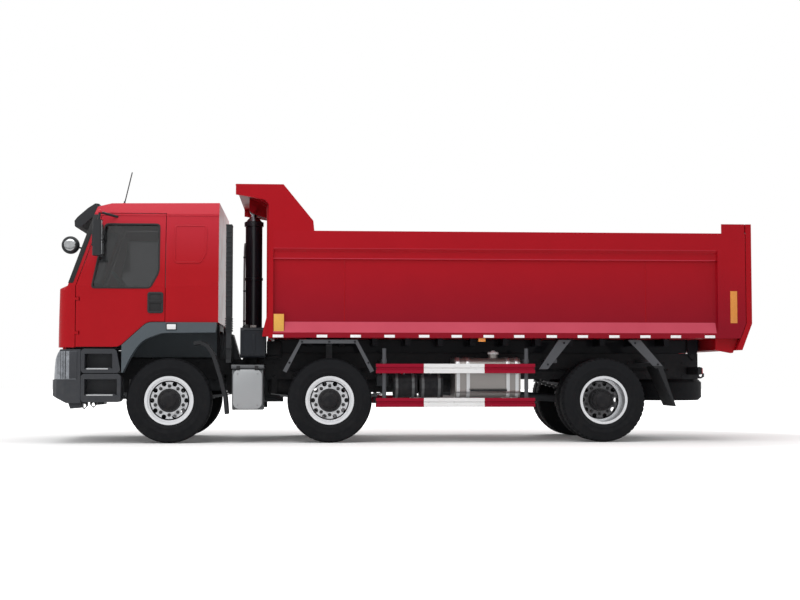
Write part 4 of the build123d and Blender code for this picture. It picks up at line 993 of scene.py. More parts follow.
@dataclass
class Studio:
    """Floor, soft light and the camera at the photograph's angle."""

    eye: Point = (1.179, 18.63, 0.86)
    pull: float = 0.06747
    pitch: float = math.radians(3.04)
    lens: float = 62.64
    middle: Point = (0.0, 0.0, 1.4)
    floor_half: float = 60.0
    shade_half: tuple[float, float] = (8.5, 5.0)
    world_strength: float = 0.52
    top_power: float = 1250.0
    key_power: float = 420.0
    fill_power: float = 160.0

    def build(self) -> None:
        """Makes the floor, the world, the lamps and the camera."""
        bpy.context.scene.view_settings.view_transform = "Standard"
        self.floor()
        self.world()
        self.lamp("top", (0.5, 1.0, 13.0), self.top_power, 14.0)
        self.lamp("key", (5.0, 9.0, 9.5), self.key_power, 7.0)
        self.lamp("left", (11.0, 3.0, 6.0), self.fill_power, 5.0)
        self.lamp("far", (-3.0, -10.0, 9.0), self.key_power, 7.0)
        self.lamp("rear", (-12.0, 2.0, 6.0), self.fill_power, 5.0)
        self.camera()

    def floor(self) -> None:
        """A pale floor that stays white to the camera away from the object's shadow."""
        Shop.clear()
        bpy.ops.mesh.primitive_grid_add(x_subdivisions=4, y_subdivisions=4, size=2 * self.floor_half)
        floor = bpy.context.object
        floor.name = "studio_floor"
        material = bpy.data.materials.new("studio_floor")
        graph = Graph(material)
        path = graph.node("ShaderNodeLightPath", {}, [], "Is Camera Ray")
        along, across = (graph.place(axis) / half for axis, half in zip("XY", self.shade_half))
        far = (along * along + across * across).ramp(0.45, 1.0)
        graph.feed(Base_Color=(0.86, 0.86, 0.86), Roughness=0.9, Specular_IOR_Level=0.0)
        graph.feed(Emission_Strength=1.0)
        glow = graph.mix(far, (0.06, 0.06, 0.06), WHITE)
        graph.feed(Emission_Color=graph.mix(path, BLACK, glow))
        floor.data.materials.append(material)

    def world(self) -> None:
        """An even world that the camera, metal and glass see as white."""
        world = bpy.data.worlds.new("studio_world")
        bpy.context.scene.world = world
        world.use_nodes = True
        nodes, links = world.node_tree.nodes, world.node_tree.links
        ground = nodes["Background"]
        ground.inputs["Color"].default_value = (*WHITE, 1.0)
        path = nodes.new("ShaderNodeLightPath")
        seen = path.outputs["Is Camera Ray"]
        for ray in ("Is Transmission Ray", "Is Glossy Ray"):
            either = nodes.new("ShaderNodeMath")
            either.operation = "MAXIMUM"
            links.new(seen, either.inputs[0])
            links.new(path.outputs[ray], either.inputs[1])
            seen = either.outputs[0]
        shown = nodes.new("ShaderNodeMath")
        shown.operation = "MULTIPLY_ADD"
        shown.inputs[1].default_value = 1.0 - self.world_strength
        shown.inputs[2].default_value = self.world_strength
        links.new(seen, shown.inputs[0])
        links.new(shown.outputs[0], ground.inputs["Strength"])

    def lamp(self, name: str, place: Point, power: float, size: float) -> None:
        """A square soft lamp that faces the object's middle.

        Args:
            name: what it lights.
            place: where it hangs.
            power: its power in watts.
            size: its edge in metres.
        """
        Shop.clear()
        bpy.ops.object.light_add(type="AREA", location=place)
        lamp = bpy.context.object
        lamp.name = f"lamp_{name}"
        lamp.data.energy = power
        lamp.data.size = size
        gaze = Vector(self.middle) - Vector(place)
        lamp.rotation_euler = gaze.to_track_quat("-Z", "Y").to_euler()

    def camera(self) -> None:
        """The camera of the photograph."""
        Shop.clear()
        bpy.ops.object.camera_add(location=self.eye)
        camera = bpy.context.object
        camera.data.lens = self.lens
        camera.data.sensor_width = 36.0
        camera.data.sensor_fit = "HORIZONTAL"
        camera.data.clip_end = 400.0
        flat = math.hypot(1.0, self.pull)
        gaze = Vector((-self.pull, -1.0, math.tan(self.pitch) * flat))
        camera.rotation_euler = gaze.to_track_quat("-Z", "Y").to_euler()
        bpy.context.scene.camera = camera


@dataclass(frozen=True)
class Fit:
    """Where a finished piece goes: the body it rides on and its finish; its record slot is not used."""

    body: str
    slot: str
    finish: Finish

    def hold(self, piece: Any) -> Any:
        """Dresses a piece, fixes it to the body and reports it.

        Args:
            piece: the mesh.

        Returns:
            The piece.
        """
        Shop.dress(piece, self.finish)
        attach(piece, self.body)
        LOG.info("%s rides on %s", piece.name, self.body)
        return piece


CAB_SEAL = Fit("cab", "dark_plastic", SEAL_BLACK)
CAB_TRIM = Fit("cab", "dark_plastic", DARK_TRIM)
CAB_GREY = Fit("cab", "dark_plastic", STEP_GREY)
CAB_RED = Fit("cab", "red_paint", RED)
BED_PAINT = Fit("bed", "red_paint", BED_RED)
BARREL = Fit("hoist_barrel", "chassis_paint", HOIST_NAVY)
FRAME_BLACK = Fit("chassis", "chassis_paint", CHASSIS_BLACK)
FRAME_PIPE = Fit("chassis", "rod_steel", CHASSIS_BLACK)
FRAME_STEEL = Fit("chassis", "rod_steel", NUT_STEEL)
FRAME_TRIM = Fit("chassis", "dark_plastic", DARK_TRIM)
FRAME_GREY = Fit("chassis", "dark_plastic", STEP_GREY)
FRAME_SEAL = Fit("chassis", "dark_plastic", SEAL_BLACK)
FRAME_LAMP = Fit("chassis", "lamp", PALE_LENS)
OIL_PAINT = Fit("chassis", "chassis_paint", OIL_BOX)


@dataclass(frozen=True)
class Block:
    """A rounded block on a body, between two stations, two places across and two heights."""

    name: str
    fit: Fit
    s: Pair
    y: Pair
    z: Pair
    edge: float = 0.004
    segments: int = 2

    def make(self, side: str = "", sign: float = 1.0) -> None:
        """Makes the block on one side, its name filled in with the side."""
        across = (sign * self.y[0], sign * self.y[1])
        self.fit.hold(Shop.block(self.name.format(side), self.s, across, self.z, self.edge, self.segments))


@dataclass(frozen=True)
class Plate:
    """A flat piece on a body, its outline given as (station, height)."""

    name: str
    fit: Fit
    outline: tuple[Pair, ...]
    y: Pair
    edge: float = 0.004

    def make(self, side: str = "", sign: float = 1.0) -> None:
        """Makes the plate on one side, its name filled in with the side.

        Args:
            side: the side's name.
            sign: 1.0 on the left, -1.0 on the right.
        """
        near, far = sorted((sign * self.y[0], sign * self.y[1]))
        piece = Shop.plate(self.name.format(side), stations(self.outline), near, far - near, self.edge)
        self.fit.hold(piece)


@dataclass(frozen=True)
class Lathe:
    """A turned piece on a body, its place given as (station, y, z)."""

    name: str
    fit: Fit
    place: Point
    axis: Axis
    segments: int
    profile: tuple[Pair, ...]

    def make(self, side: str = "", sign: float = 1.0) -> None:
        """Turns the piece on one side, its name filled in with the side.

        Args:
            side: the side's name.
            sign: 1.0 on the left, -1.0 on the right.
        """
        station, y, z = self.place
        centre = (x_at(station), sign * y, z)
        self.fit.hold(Shop.turned(self.name.format(side), self.profile, centre, self.axis, self.segments))


@dataclass
class RoadTyres:
    """Rubber for every wheel: sidewalls with raised rings, ribs and cut shoulders."""

    outer: float = 0.53
    bead: float = 0.2865
    half: float = 0.14
    segments: int = 144
    notch_every: int = 3
    notch_depth: float = 0.011
    shoulder: Pair = (0.026, 0.074)
    twin_half: float = 0.16

    def profile(self) -> list[Pair]:
        """The section's ring of (radius, height), bead to bead over the tread and back inside.

        Returns:
            The ring, closed.
        """
        r, h = self.outer, self.half
        flank = [(self.bead, 0.0365), (0.3035, 0.0365), (0.3065, 0.026), (0.33, 0.012), (0.352, 0.006),
                 (0.358, 0.009), (0.398, 0.002), (0.404, 0.0005), (0.412, 0.0005), (0.418, 0.003),
                 (0.45, 0.004), (0.478, 0.008), (r - 0.024, 0.013), (r - 0.011, 0.024), (r - 0.004, 0.04),
                 (r - 0.0025, 0.062), (r - 0.016, 0.066), (r - 0.016, 0.076), (r - 0.001, 0.08), (r, 0.129),
                 (r - 0.015, 0.133)]
        upper = [(radius, inset - h) for radius, inset in flank]
        lower = [(radius, -height) for radius, height in reversed(upper)]
        return upper + lower + [upper[0]]

    def rubber(self, name: str) -> Any:
        """One tyre about the Y axis at the origin.

        Args:
            name: the piece's name.

        Returns:
            The piece.
        """
        tyre = Shop.turned(name, self.profile(), (0, 0, 0), Axis.Y, self.segments, closed=True)
        Shop.only(tyre)
        bpy.ops.object.mode_set(mode="EDIT")
        bpy.ops.mesh.select_all(action="DESELECT")
        bpy.ops.object.mode_set(mode="OBJECT")
        step = 2 * math.pi / self.segments
        depth, inner = self.shoulder
        for face in tyre.data.polygons:
            x, y, z = face.center
            shoulder = math.hypot(x, z) > self.outer - depth and abs(y) > inner
            number = int((math.atan2(z, x) + math.pi) / step + 1e-3)
            late = 1 if y > 0 else 0
            face.select = shoulder and (number + late) % self.notch_every == 0
        bpy.ops.object.mode_set(mode="EDIT")
        bpy.ops.mesh.select_mode(type="FACE")
        cut = {"value": -self.notch_depth}
        bpy.ops.mesh.extrude_region_shrink_fatten(TRANSFORM_OT_shrink_fatten=cut)
        bpy.ops.object.mode_set(mode="OBJECT")
        return Shop.smooth(tyre, 30.0)

    def build(self) -> None:
        """Fits the tyres to the three axles, each turned a little differently."""
        pattern = self.rubber("tyre_pattern")
        for number, station in AXLES.items():
            places = (self.twin_half, -self.twin_half) if number == REAR_AXLE else (0.0,)
            for side, sign in SIDES.items():
                copies = []
                for index, shift in enumerate(places):
                    spin = Matrix.Rotation(0.31 * number + 0.17 * index + 0.05 * sign, 4, "Y")
                    there = Matrix.Translation((x_at(station), sign * TRACK[number] + shift, AXLE_Z))
                    copies.append(Shop.copy(pattern, f"tyre_copy_{index}", there @ spin))
                tyre = Shop.join(f"rubber_{number}_{side}", copies)
                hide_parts(f"tyre_{number}_{side}")
                Fit(f"wheel_{number}_{side}", "tyre", RUBBER).hold(tyre)
        bpy.data.objects.remove(pattern)


@dataclass
class WheelFittings:
    """What is bolted to the wheels: nuts, studs, hub caps and valve stems."""

    nuts: int = 10
    ring: float = 0.18
    nut: float = 0.0165
    nut_height: float = 0.024
    single_faces: Pair = (0.062, 0.146)
    twin_faces: Pair = (0.016, 0.215)
    cap_r: float = 0.128
    cap_bolts: int = 8
    valve_z: float = -0.238

    def nut_ring(self, face: float) -> Any:
        """Nuts with their washers and stud ends on a ring, about the Y axis.

        Args:
            face: how far out it stands from the wheel's middle.

        Returns:
            The piece.
        """
        r, h = self.nut, self.nut_height
        profile = [(r * 1.45, 0.0), (r * 1.45, 0.004), (r, 0.0045), (r, h), (r * 0.85, h + 0.002),
                   (r * 0.6, h + 0.0021), (r * 0.6, h + 0.012), (r * 0.45, h + 0.0135)]
        first = Shop.turned("nut", profile, (self.ring, face, 0), Axis.Y, 6)
        ring = [Shop.copy(first, "nut", Matrix.Rotation(2 * math.pi * (index + 0.5) / self.nuts, 4, "Y"))
                for index in range(self.nuts)]
        bpy.data.objects.remove(first)
        return Shop.join("nuts", ring)

    def hub_cap(self, face: float) -> Any:
        """A stepped cap with a rim of small bolts and a domed middle, about the Y axis.

        Args:
            face: how far out it stands from the wheel's middle.

        Returns:
            The piece.
        """
        r = self.cap_r
        profile = [(r, 0.0), (r, 0.01), (r - 0.004, 0.014), (r * 0.8, 0.016), (r * 0.74, 0.022),
                   (r * 0.72, 0.034), (r * 0.66, 0.041), (r * 0.4, 0.046), (r * 0.12, 0.048)]
        made = [Shop.turned("cap", profile, (0, face, 0), Axis.Y, 48)]
        bolt = [(0.0095, 0.0), (0.0095, 0.007), (0.007, 0.0095)]
        for index in range(self.cap_bolts):
            turn = 2 * math.pi * index / self.cap_bolts
            place = (r * 0.88 * math.cos(turn), face + 0.012, r * 0.88 * math.sin(turn))
            made.append(Shop.turned("bolt", bolt, place, Axis.Y, 6))
        return Shop.join("cap", made)

    def valve(self, face: float) -> Any:
        """A valve stem and its cap on the rim."""
        stem = [(0.0045, 0.0), (0.0045, 0.03), (0.0065, 0.031), (0.0065, 0.046), (0.004, 0.049)]
        return Shop.turned("valve", stem, (0.0, face, self.valve_z), Axis.Y, 12)

    def build(self) -> None:
        """Fits every wheel."""
        for number, station in AXLES.items():
            face, cap_face = self.twin_faces if number == REAR_AXLE else self.single_faces
            for side, sign in SIDES.items():
                there = Matrix.Translation((x_at(station), sign * TRACK[number], AXLE_Z)) @ flip(sign)
                made = {"wheel_nuts": (self.nut_ring(face), "rod_steel", NUT_DARK),
                        "hub_cap": (self.hub_cap(cap_face), "chassis_paint", HUB_BLACK),
                        "valve_stem": (self.valve(face + 0.002), "chassis_paint", HUB_BLACK)}
                for name, (piece, slot, finish) in made.items():
                    moved = Shop.moved(piece, f"{name}_{number}_{side}", there)
                    Fit(f"wheel_{number}_{side}", slot, finish).hold(moved)


@dataclass
class CabFront:
    """The cab's face and sides: seal, wipers, grille, corner strips, embossed panels and roof line."""

    foot_s: float = 0.165
    lean: float = 0.345
    face_s: float = 0.04
    slats: int = 5
    slots: int = 4
    emboss: tuple[Pair, ...] = ((1.466, 2.725), (1.872, 2.725), (1.872, 2.372), (1.8, 2.237),
                                (1.466, 2.237))
    markers: tuple[Block, ...] = (
        Block("marker_bezel_{}", CAB_TRIM, (1.378, 1.512), (1.233, 1.243), (1.402, 1.485)),
        Block("marker_lens_{}", Fit("cab", "lamp", PALE_LENS), (1.39, 1.5), (1.24, 1.248),
              (1.412, 1.475), 0.003))
    turned: tuple[Lathe, ...] = (
        Lathe("antenna_foot", CAB_TRIM, (0.812, 0.9, 2.996), Axis.Z, 24,
              ((0.03, 0.0), (0.03, 0.006), (0.022, 0.014), (0.01, 0.03), (0.008, 0.05))),
        Lathe("round_glass", Fit("cab", "lamp", ROUND_GLASS), (-0.08, -0.395, 2.605), Axis.Y, 48,
              ((0.079, -0.002), (0.079, 0.002), (0.074, 0.004), (0.04, 0.006), (0.008, 0.0065))))

    def on_screen(self) -> Matrix:
        """Takes a piece drawn as (across, out, up) to the leaning windscreen."""
        return Matrix(((0, 1, -self.lean, x_at(self.foot_s)), (1, 0, 0, 0), (0, 0, 1, BELT_Z), (0, 0, 0, 1)))

    def screen(self) -> None:
        """The windscreen's seal and two wipers."""
        outline = [(-1.086, 0.036), (1.086, 0.036), (1.006, 0.854), (-1.006, 0.854)]
        flat = Shop.rim("screen_seal_flat", outline, 0.024, -0.004, 0.01, 0.06)
        CAB_SEAL.hold(Shop.moved(flat, "screen_seal", self.on_screen()))
        for index, start in enumerate((0.3, -0.62)):
            tip = start + 0.42
            path = [(start, 0.012, 0.0), (start + 0.05, 0.03, 0.04), (tip, 0.026, 0.22)]
            arm = Shop.pipe("wiper_arm", path, 0.008)
            flat = Shop.box("wiper_blade", (start + 0.06, 0.012, 0.06), (start + 0.78, 0.026, 0.074))
            turn = Matrix.Translation((tip, 0, 0.22)) @ Matrix.Rotation(math.radians(-14), 4, "Y")
            blade = Shop.moved(flat, "wiper_rubber", turn @ Matrix.Translation((-tip, 0, -0.067)))
            stub = [(0.022, 0.0), (0.022, 0.02), (0.014, 0.028)]
            pivot = Shop.turned("wiper_pivot", stub, (start, -0.004, 0.0), Axis.Y, 16)
            wiper = Shop.join("wiper_flat", [arm, blade, pivot])
            CAB_SEAL.hold(Shop.moved(wiper, f"wiper_{index}", self.on_screen()))

    def corner_strips(self) -> None:
        """A black strip up each corner post beside the windscreen."""
        low, rise = 1.985, 0.86
        lead, inward = self.lean * (low - BELT_Z), TUMBLE * (low - BELT_Z)
        plan = [(0.16, 1.223), (0.222, 1.223), (0.222, 1.215), (0.16, 1.215)]
        for side, sign in SIDES.items():
            corners = [(x_at(s + lead), sign * (y - inward), low) for s, y in plan]
            shift = (-self.lean * rise, -sign * TUMBLE * rise, rise)
            CAB_SEAL.hold(Shop.prism(f"corner_strip_{side}", corners, shift, 0.001))

    def grille(self) -> None:
        """Slats on the lower face, the long slots above them and a bright bar over those."""
        front, upper = x_at(self.face_s - 0.013), x_at(self.face_s)
        for index in range(self.slats):
            z = 1.01 + index * 0.035
            low, high = (front - 0.004, -0.66, z), (front + 0.014, 0.66, z + 0.016)
            CAB_TRIM.hold(Shop.box(f"grille_slat_{index}", low, high, 0.006))
        for index in range(self.slots):
            z = 1.3 + index * 0.105
            slope = 0.0304 * (z - 1.188)
            low = (upper - slope - 0.006, -0.82 + 0.02 * index, z)
            high = (upper - slope + 0.01, 0.82 - 0.02 * index, z + 0.058)
            CAB_TRIM.hold(Shop.box(f"face_slot_{index}", low, high, 0.012, 3))
        bar = Shop.box("face_bar", (upper - 0.018, -0.78, 1.735), (upper + 0.004, 0.78, 1.79), 0.01, 3)
        Fit("cab", "aluminium", TREAD_ALLOY).hold(bar)

    def side_panels(self) -> None:
        """Embossed quarter panels, the roof line and the flare's marker lamps."""
        gutter_y, lip_y = (CAB_HALF - 0.003, CAB_HALF + 0.007), (CAB_HALF - 0.003, CAB_HALF + 0.005)
        emboss = Shop.rim("emboss_flat", stations(self.emboss), 0.02, CAB_HALF - 0.004, 0.011, 0.045)
        flats = {"quarter_emboss": emboss,
                 "roof_gutter": Shop.block("gutter_flat", (0.52, 2.01), gutter_y, (2.836, 2.85), 0.003),
                 "roof_lip": Shop.block("lip_flat", (1.318, 1.332), lip_y, (2.85, 2.868), 0.002)}
        for side, sign in SIDES.items():
            for name, flat in flats.items():
                CAB_RED.hold(Shop.copy(flat, f"{name}_{side}", flip(sign) @ lean_in()))
            for marker in self.markers:
                marker.make(side, sign)
        for flat in flats.values():
            bpy.data.objects.remove(flat)

    def roof(self) -> None:
        """The antenna's foot, the horn's trumpets, the round mirror's glass and the visor's lamps."""
        for piece in self.turned:
            piece.make()
        trumpet = [(0.01, 0.0), (0.011, 0.1), (0.015, 0.18), (0.026, 0.225), (0.04, 0.245), (0.042, 0.248)]
        for index, y in enumerate((-0.13, 0.13)):
            horn = Shop.turned(f"horn_{index}", trumpet, (x_at(0.92), y, 3.04), Axis.X, 24)
            post = Shop.block("horn_post", (0.88, 0.9), (y - 0.01, y + 0.01), (2.99, 3.032), 0.003)
            Fit("cab", "aluminium", BRIGHT).hold(Shop.join(f"horn_{index}", [horn, post]))
        for index, y in enumerate((-0.8, 0.0, 0.8)):
            across = (y - 0.055, y + 0.055)
            lamp = Shop.block(f"visor_lamp_{index}", (0.395, 0.455), across, (2.976, 2.99), 0.005)
            Fit("cab", "lamp", AMBER_LENS).hold(lamp)

    def build(self) -> None:
        """Dresses the cab's outside."""
        self.screen()
        self.corner_strips()
        self.grille()
        self.side_panels()
        self.roof()


@dataclass
class Doors:
    """What is fixed to the doors: window seals, handles, inner panels and mirror glass."""

    window: tuple[Pair, ...] = ((0.447, 1.917), (0.606, 2.739), (1.293, 2.739), (1.293, 2.126),
                                (1.184, 1.917))
    handle: tuple[float, float, float, float] = (1.146, 1.342, 1.612, 1.875)
    glass_s: Pair = (0.6095, 0.6125)
    glass_y: Pair = (1.305, 1.455)

    def seal(self) -> Any:
        """The rubber round the window, left side."""
        flat = Shop.rim("seal_flat", stations(self.window), 0.022, CAB_HALF - 0.006, 0.011, 0.045)
        return Shop.moved(flat, "seal_left", lean_in())

    def handle_block(self) -> list[Any]:
        """A frame, the dark dish inside it and the pull bar across, left side.

        Returns:
            The frame, the dish and the bar.
        """
        s0, s1, z0, z1 = self.handle
        outline = stations(((s0, z0), (s1, z0), (s1, z1), (s0, z1)))
        frame = Shop.rim("handle_frame", outline, 0.028, CAB_HALF - 0.002, 0.012, 0.03)
        dish = Shop.block("handle_dish", (s0 + 0.02, s1 - 0.02), (CAB_HALF - 0.004, CAB_HALF + 0.004),
                          (z0 + 0.02, z1 - 0.02), 0.003)
        bar = Shop.block("handle_bar", (s0 + 0.015, s1 - 0.015), (CAB_HALF + 0.004, CAB_HALF + 0.014),
                         (z0 + 0.125, z0 + 0.165), 0.004, 3)
        return [frame, dish, bar]

    def inner_panel(self) -> Any:
        """The trim on the door's inner side with an arm rest, left side.

        Returns:
            The piece.
        """
        panel_y, rest_y = (CAB_HALF - 0.072, CAB_HALF - 0.058), (CAB_HALF - 0.13, CAB_HALF - 0.066)
        panel = Shop.block("door_trim", (0.44, 1.33), panel_y, (1.56, 1.89), 0.005)
        rest = Shop.block("arm_rest", (0.62, 1.2), rest_y, (1.74, 1.795), 0.018, 4)
        return Shop.join("door_trim", [panel, rest])

    def build(self) -> None:
        """Dresses both doors."""
        frame, dish, bar = self.handle_block()
        dome = [(0.028, 0.0), (0.027, 0.02), (0.02, 0.034), (0.008, 0.04)]
        cap = Shop.turned("mirror_cap", dome, (x_at(0.575), 1.375, 2.842), Axis.Z, 24)
        cover = Shop.block("mirror_cover", (0.492, 0.512), (1.296, 1.464), (2.42, 2.64), 0.009, 3)
        tall = Shop.block("glass_tall", self.glass_s, self.glass_y, (2.505, 2.735), 0.001)
        low = Shop.block("glass_low", self.glass_s, self.glass_y, (2.328, 2.485), 0.001)
        made = {"window_seal": (self.seal(), "dark_plastic", SEAL_BLACK),
                "handle_frame": (frame, "dark_plastic", DARK_TRIM),
                "handle_dish": (dish, "dark_plastic", SEAL_BLACK),
                "handle_bar": (bar, "dark_plastic", SEAL_BLACK),
                "door_trim": (self.inner_panel(), "dark_plastic", STEP_GREY),
                "mirror_tall": (tall, "glass", MIRROR_GLASS),
                "mirror_low": (low, "glass", MIRROR_GLASS),
                "mirror_cap": (cap, "red_paint", RED),
                "mirror_cover": (cover, "dark_plastic", DARK_TRIM)}
        for side, sign in SIDES.items():
            for name, (piece, slot, finish) in made.items():
                Fit(f"door_{side}", slot, finish).hold(Shop.copy(piece, f"{name}_on_{side}", flip(sign)))
        for piece, *_ in made.values():
            bpy.data.objects.remove(piece)


@dataclass
class CabInside:
    """Seats with crowned cushions, the foot under each, and the dashboard's small pieces."""

    seat_y: float = 0.52
    floor_z: float = 1.56
    recline: float = math.radians(-8)

    def cushion(self, name: str, s: Pair, across: Pair, z: Pair, crown: float) -> Any:
        """A foam block whose faces swell towards their middles.

        Args:
            name: the piece's name.
            s: its two stations.
            across: its two sides.
            z: its foot and its top.
            crown: how far the faces swell.

        Returns:
            The piece.
        """
        Shop.clear()
        low, high = (x_at(s[1]), across[0], z[0]), (x_at(s[0]), across[1], z[1])
        middle = [(a + b) / 2 for a, b in zip(low, high)]
        bpy.ops.mesh.primitive_cube_add(size=1.0, location=middle)
        piece = bpy.context.object
        piece.scale = [b - a - 2 * crown for a, b in zip(low, high)]
        Shop.settle(piece, name)
        Shop.modify(piece, "BEVEL", width=0.05, segments=4, limit_method="ANGLE")
        bpy.ops.object.mode_set(mode="EDIT")
        bpy.ops.mesh.select_all(action="SELECT")
        bpy.ops.mesh.subdivide(number_cuts=5)
        bpy.ops.object.mode_set(mode="OBJECT")
        half = [(b - a) / 2 for a, b in zip(low, high)]
        for vertex in piece.data.vertices:
            part = [(vertex.co[i] - middle[i]) / half[i] for i in range(3)]
            swell = [math.cos(value * math.pi / 2) for value in part]
            for axis in range(3):
                others = [swell[i] for i in range(3) if i != axis]
                vertex.co[axis] += crown * part[axis] * others[0] * others[1]
        return Shop.smooth(piece, 60.0)

    def seat(self, side: str, y: float) -> Any:
        """One seat: base, cushion, back and head rest.

        Args:
            side: the side's name.
            y: its middle across the cab.

        Returns:
            The piece.
        """
        base = self.cushion("seat_base", (1.185, 1.65), (y - 0.255, y + 0.255), (1.78, 1.975), 0.022)
        back = self.cushion("seat_back", (1.54, 1.66), (y - 0.245, y + 0.245), (1.9, 2.52), 0.018)
        head = self.cushion("seat_head", (1.56, 1.65), (y - 0.13, y + 0.13), (2.5, 2.655), 0.014)
        pivot = Matrix.Translation((x_at(1.6), 0, 1.95))
        tilt = pivot @ Matrix.Rotation(self.recline, 4, "Y") @ pivot.inverted()
        leaned = [Shop.moved(piece, f"{piece.name}_leaned", tilt) for piece in (back, head)]
        return Shop.join(f"seat_{side}", [base] + leaned)

    def build(self) -> None:
        """Fits both seats, their feet and the dashboard's pieces."""
        for side, sign in SIDES.items():
            y = sign * self.seat_y
            seat = Fit("cab", "seat_cloth", SEAT_CLOTH).hold(self.seat(side, y))
            if side == "left":
                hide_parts("seats")
            across, upright = (y - 0.2, y + 0.2), (self.floor_z, 1.8)
            CAB_GREY.hold(Shop.block(f"seat_foot_{side}", (1.24, 1.6), across, upright, 0.02, 3))
        Block("dial_hood", CAB_TRIM, (0.3, 0.5), (0.3, 0.74), (1.94, 2.02), 0.03, 4).make()
        Lathe("gear_lever", CAB_SEAL, (1.02, 0.0, self.floor_z), Axis.Z, 20,
              ((0.012, 0.0), (0.011, 0.28), (0.026, 0.3), (0.028, 0.33), (0.016, 0.352))).make()
        Block("tunnel", CAB_GREY, (1.16, 1.95), (-0.24, 0.24), (self.floor_z, 1.64), 0.03, 3).make()


@dataclass
class BedDetail:
    """What is fixed to the bed: reflectors, tags, seams, ribs, rolled edges and small lamps."""

    reflectors: tuple[float, ...] = (2.762, 3.309, 3.728, 4.153, 4.587, 4.997, 5.401, 5.788, 6.202, 6.597,
                                     7.0, 7.399, 7.791, 8.231)
    reflector_z: float = 1.331
    tape_y: Pair = (BED_HALF - 0.001, BED_HALF + 0.0035)
    hooks: tuple[float, ...] = (3.4, 4.2, 5.0, 5.8, 6.6, 7.4)
    ribs: tuple[float, ...] = (-1.05, -0.72, -0.38, 0.38, 0.72, 1.05)
    stays: tuple[float, ...] = (-0.84, -0.42, 0.42, 0.84)
    pieces: tuple[Block | Plate, ...] = (
        Block("post_strip_{}", Fit("bed", "lamp", ORANGE_TAPE), (8.5, 8.588), tape_y, (1.505, 1.912),
              0.0015),
        Plate("front_foot_{}", BED_PAINT, ((2.701, 1.375), (2.84, 1.375), (2.84, 1.612), (2.701, 1.612)),
              (1.193, 1.243)),
        Block("yellow_tag_{}", Fit("bed", "lamp", YELLOW_TAG), (2.708, 2.834), (1.242, 1.2465),
              (1.392, 1.606), 0.001),
        Plate("front_gusset_{}", BED_PAINT, ((2.641, 1.655), (2.641, 1.325), (2.566, 1.325), (2.576, 1.4)),
              (1.19, 1.249)),
        Block("wall_seam_{}_0", BED_PAINT, (3.585, 3.595), (1.193, 1.198), (1.52, 2.286), 0.0015),
        Block("wall_seam_{}_1", BED_PAINT, (7.415, 7.425), (1.193, 1.198), (1.52, 2.286), 0.0015),
        Block("side_lamp_{}_0", Fit("bed", "lamp", AMBER_LENS), (5.274, 5.364), (1.17, 1.23),
              (1.264, 1.3125), 0.006, 3))

    def side(self, side: str, sign: float) -> None:
        """One wall's reflectors, tags, seams, foot and sheet hooks.

        Args:
            side: the side's name.
            sign: 1.0 on the left, -1.0 on the right.
        """
        y0, y1 = sorted(sign * y for y in self.tape_y)
        first = Shop.box("bed_reflector", (-0.066, y0, -0.017), (0.066, y1, 0.017), 0.0015)
        strips = [Shop.copy(first, "bed_reflector", Matrix.Translation((x_at(s), 0, self.reflector_z)))
                  for s in self.reflectors]
        bpy.data.objects.remove(first)
        Fit("bed", "lamp", WHITE_TAPE).hold(Shop.join(f"bed_reflectors_{side}", strips))
        for piece in self.pieces:
            piece.make(side, sign)
        bow = ((-0.03, 1.249, 2.452), (-0.03, 1.2475, 2.432), (0.03, 1.2475, 2.432), (0.03, 1.249, 2.452))
        hooks = [Shop.pipe("sheet_hook", [(x_at(s + shift), sign * y, z) for shift, y, z in bow], 0.0024)
                 for s in self.hooks]
        BED_PAINT.hold(Shop.join(f"sheet_hooks_{side}", hooks))

    def front(self) -> None:
        """Upright ribs on the front wall, the canopy's rolled edge and the stays under it."""
        rib = ((2.641, 1.52), (2.612, 1.55), (2.612, 2.96), (2.641, 3.02))
        for index, y in enumerate(self.ribs):
            Plate(f"front_rib_{index}", BED_PAINT, rib, (y - 0.035, y + 0.035), 0.005).make()
        path = [(x_at(2.236), y, 3.219) for y in (-1.242, 0.0, 1.242)]
        BED_PAINT.hold(Shop.pipe("canopy_edge", path, 0.0115))
        stay = ((2.642, 3.16), (2.642, 3.0), (2.4, 3.16))
        for index, y in enumerate(self.stays):
            Plate(f"canopy_stay_{index}", BED_PAINT, stay, (y - 0.01, y + 0.01), 0.003).make()

    def build(self) -> None:
        """Dresses both walls and the front."""
        for side, sign in SIDES.items():
            self.side(side, sign)
        self.front()


@dataclass
class GateDetail:
    """What is fixed to the tailgate: pin caps, rear reflectors and hooks."""

    rear_s: float = 8.78
    tape_s: Pair = (8.7375, 8.741)
    tape_z: tuple[float, ...] = (1.68, 1.86, 2.2, 2.38)
    hook_y: float = 0.78
    hook_z: float = 2.2

    def build(self) -> None:
        """Dresses the gate."""
        disc = [(0.04, 0.0), (0.04, 0.006), (0.034, 0.01), (0.016, 0.012)]
        bow = ((-0.05, 0.042), (-0.05, 0.03), (-0.05, 0.014), (0.05, 0.014), (0.05, 0.03), (0.05, 0.042))
        for side, sign in SIDES.items():
            cap = Shop.turned("pin_cap", disc, (x_at(8.48), 1.2265, 2.715), Axis.Y, 24)
            Fit("tailgate", "rod_steel", NUT_STEEL).hold(Shop.moved(cap, f"gate_pin_cap_{side}", flip(sign)))
            for index, z in enumerate(self.tape_z):
                fit = Fit("tailgate", "lamp", RED_TAPE if index % 2 else WHITE_TAPE)
                Block(f"gate_tape_{side}_{index}", fit, self.tape_s, (1.02, 1.1), (z - 0.085, z + 0.085),
                      0.001).make(side, sign)
            path = [(x_at(self.rear_s) + out, sign * self.hook_y + shift, self.hook_z) for shift, out in bow]
            Fit("tailgate", "rod_steel", CHASSIS_BLACK).hold(Shop.pipe(f"gate_hook_{side}", path, 0.011))


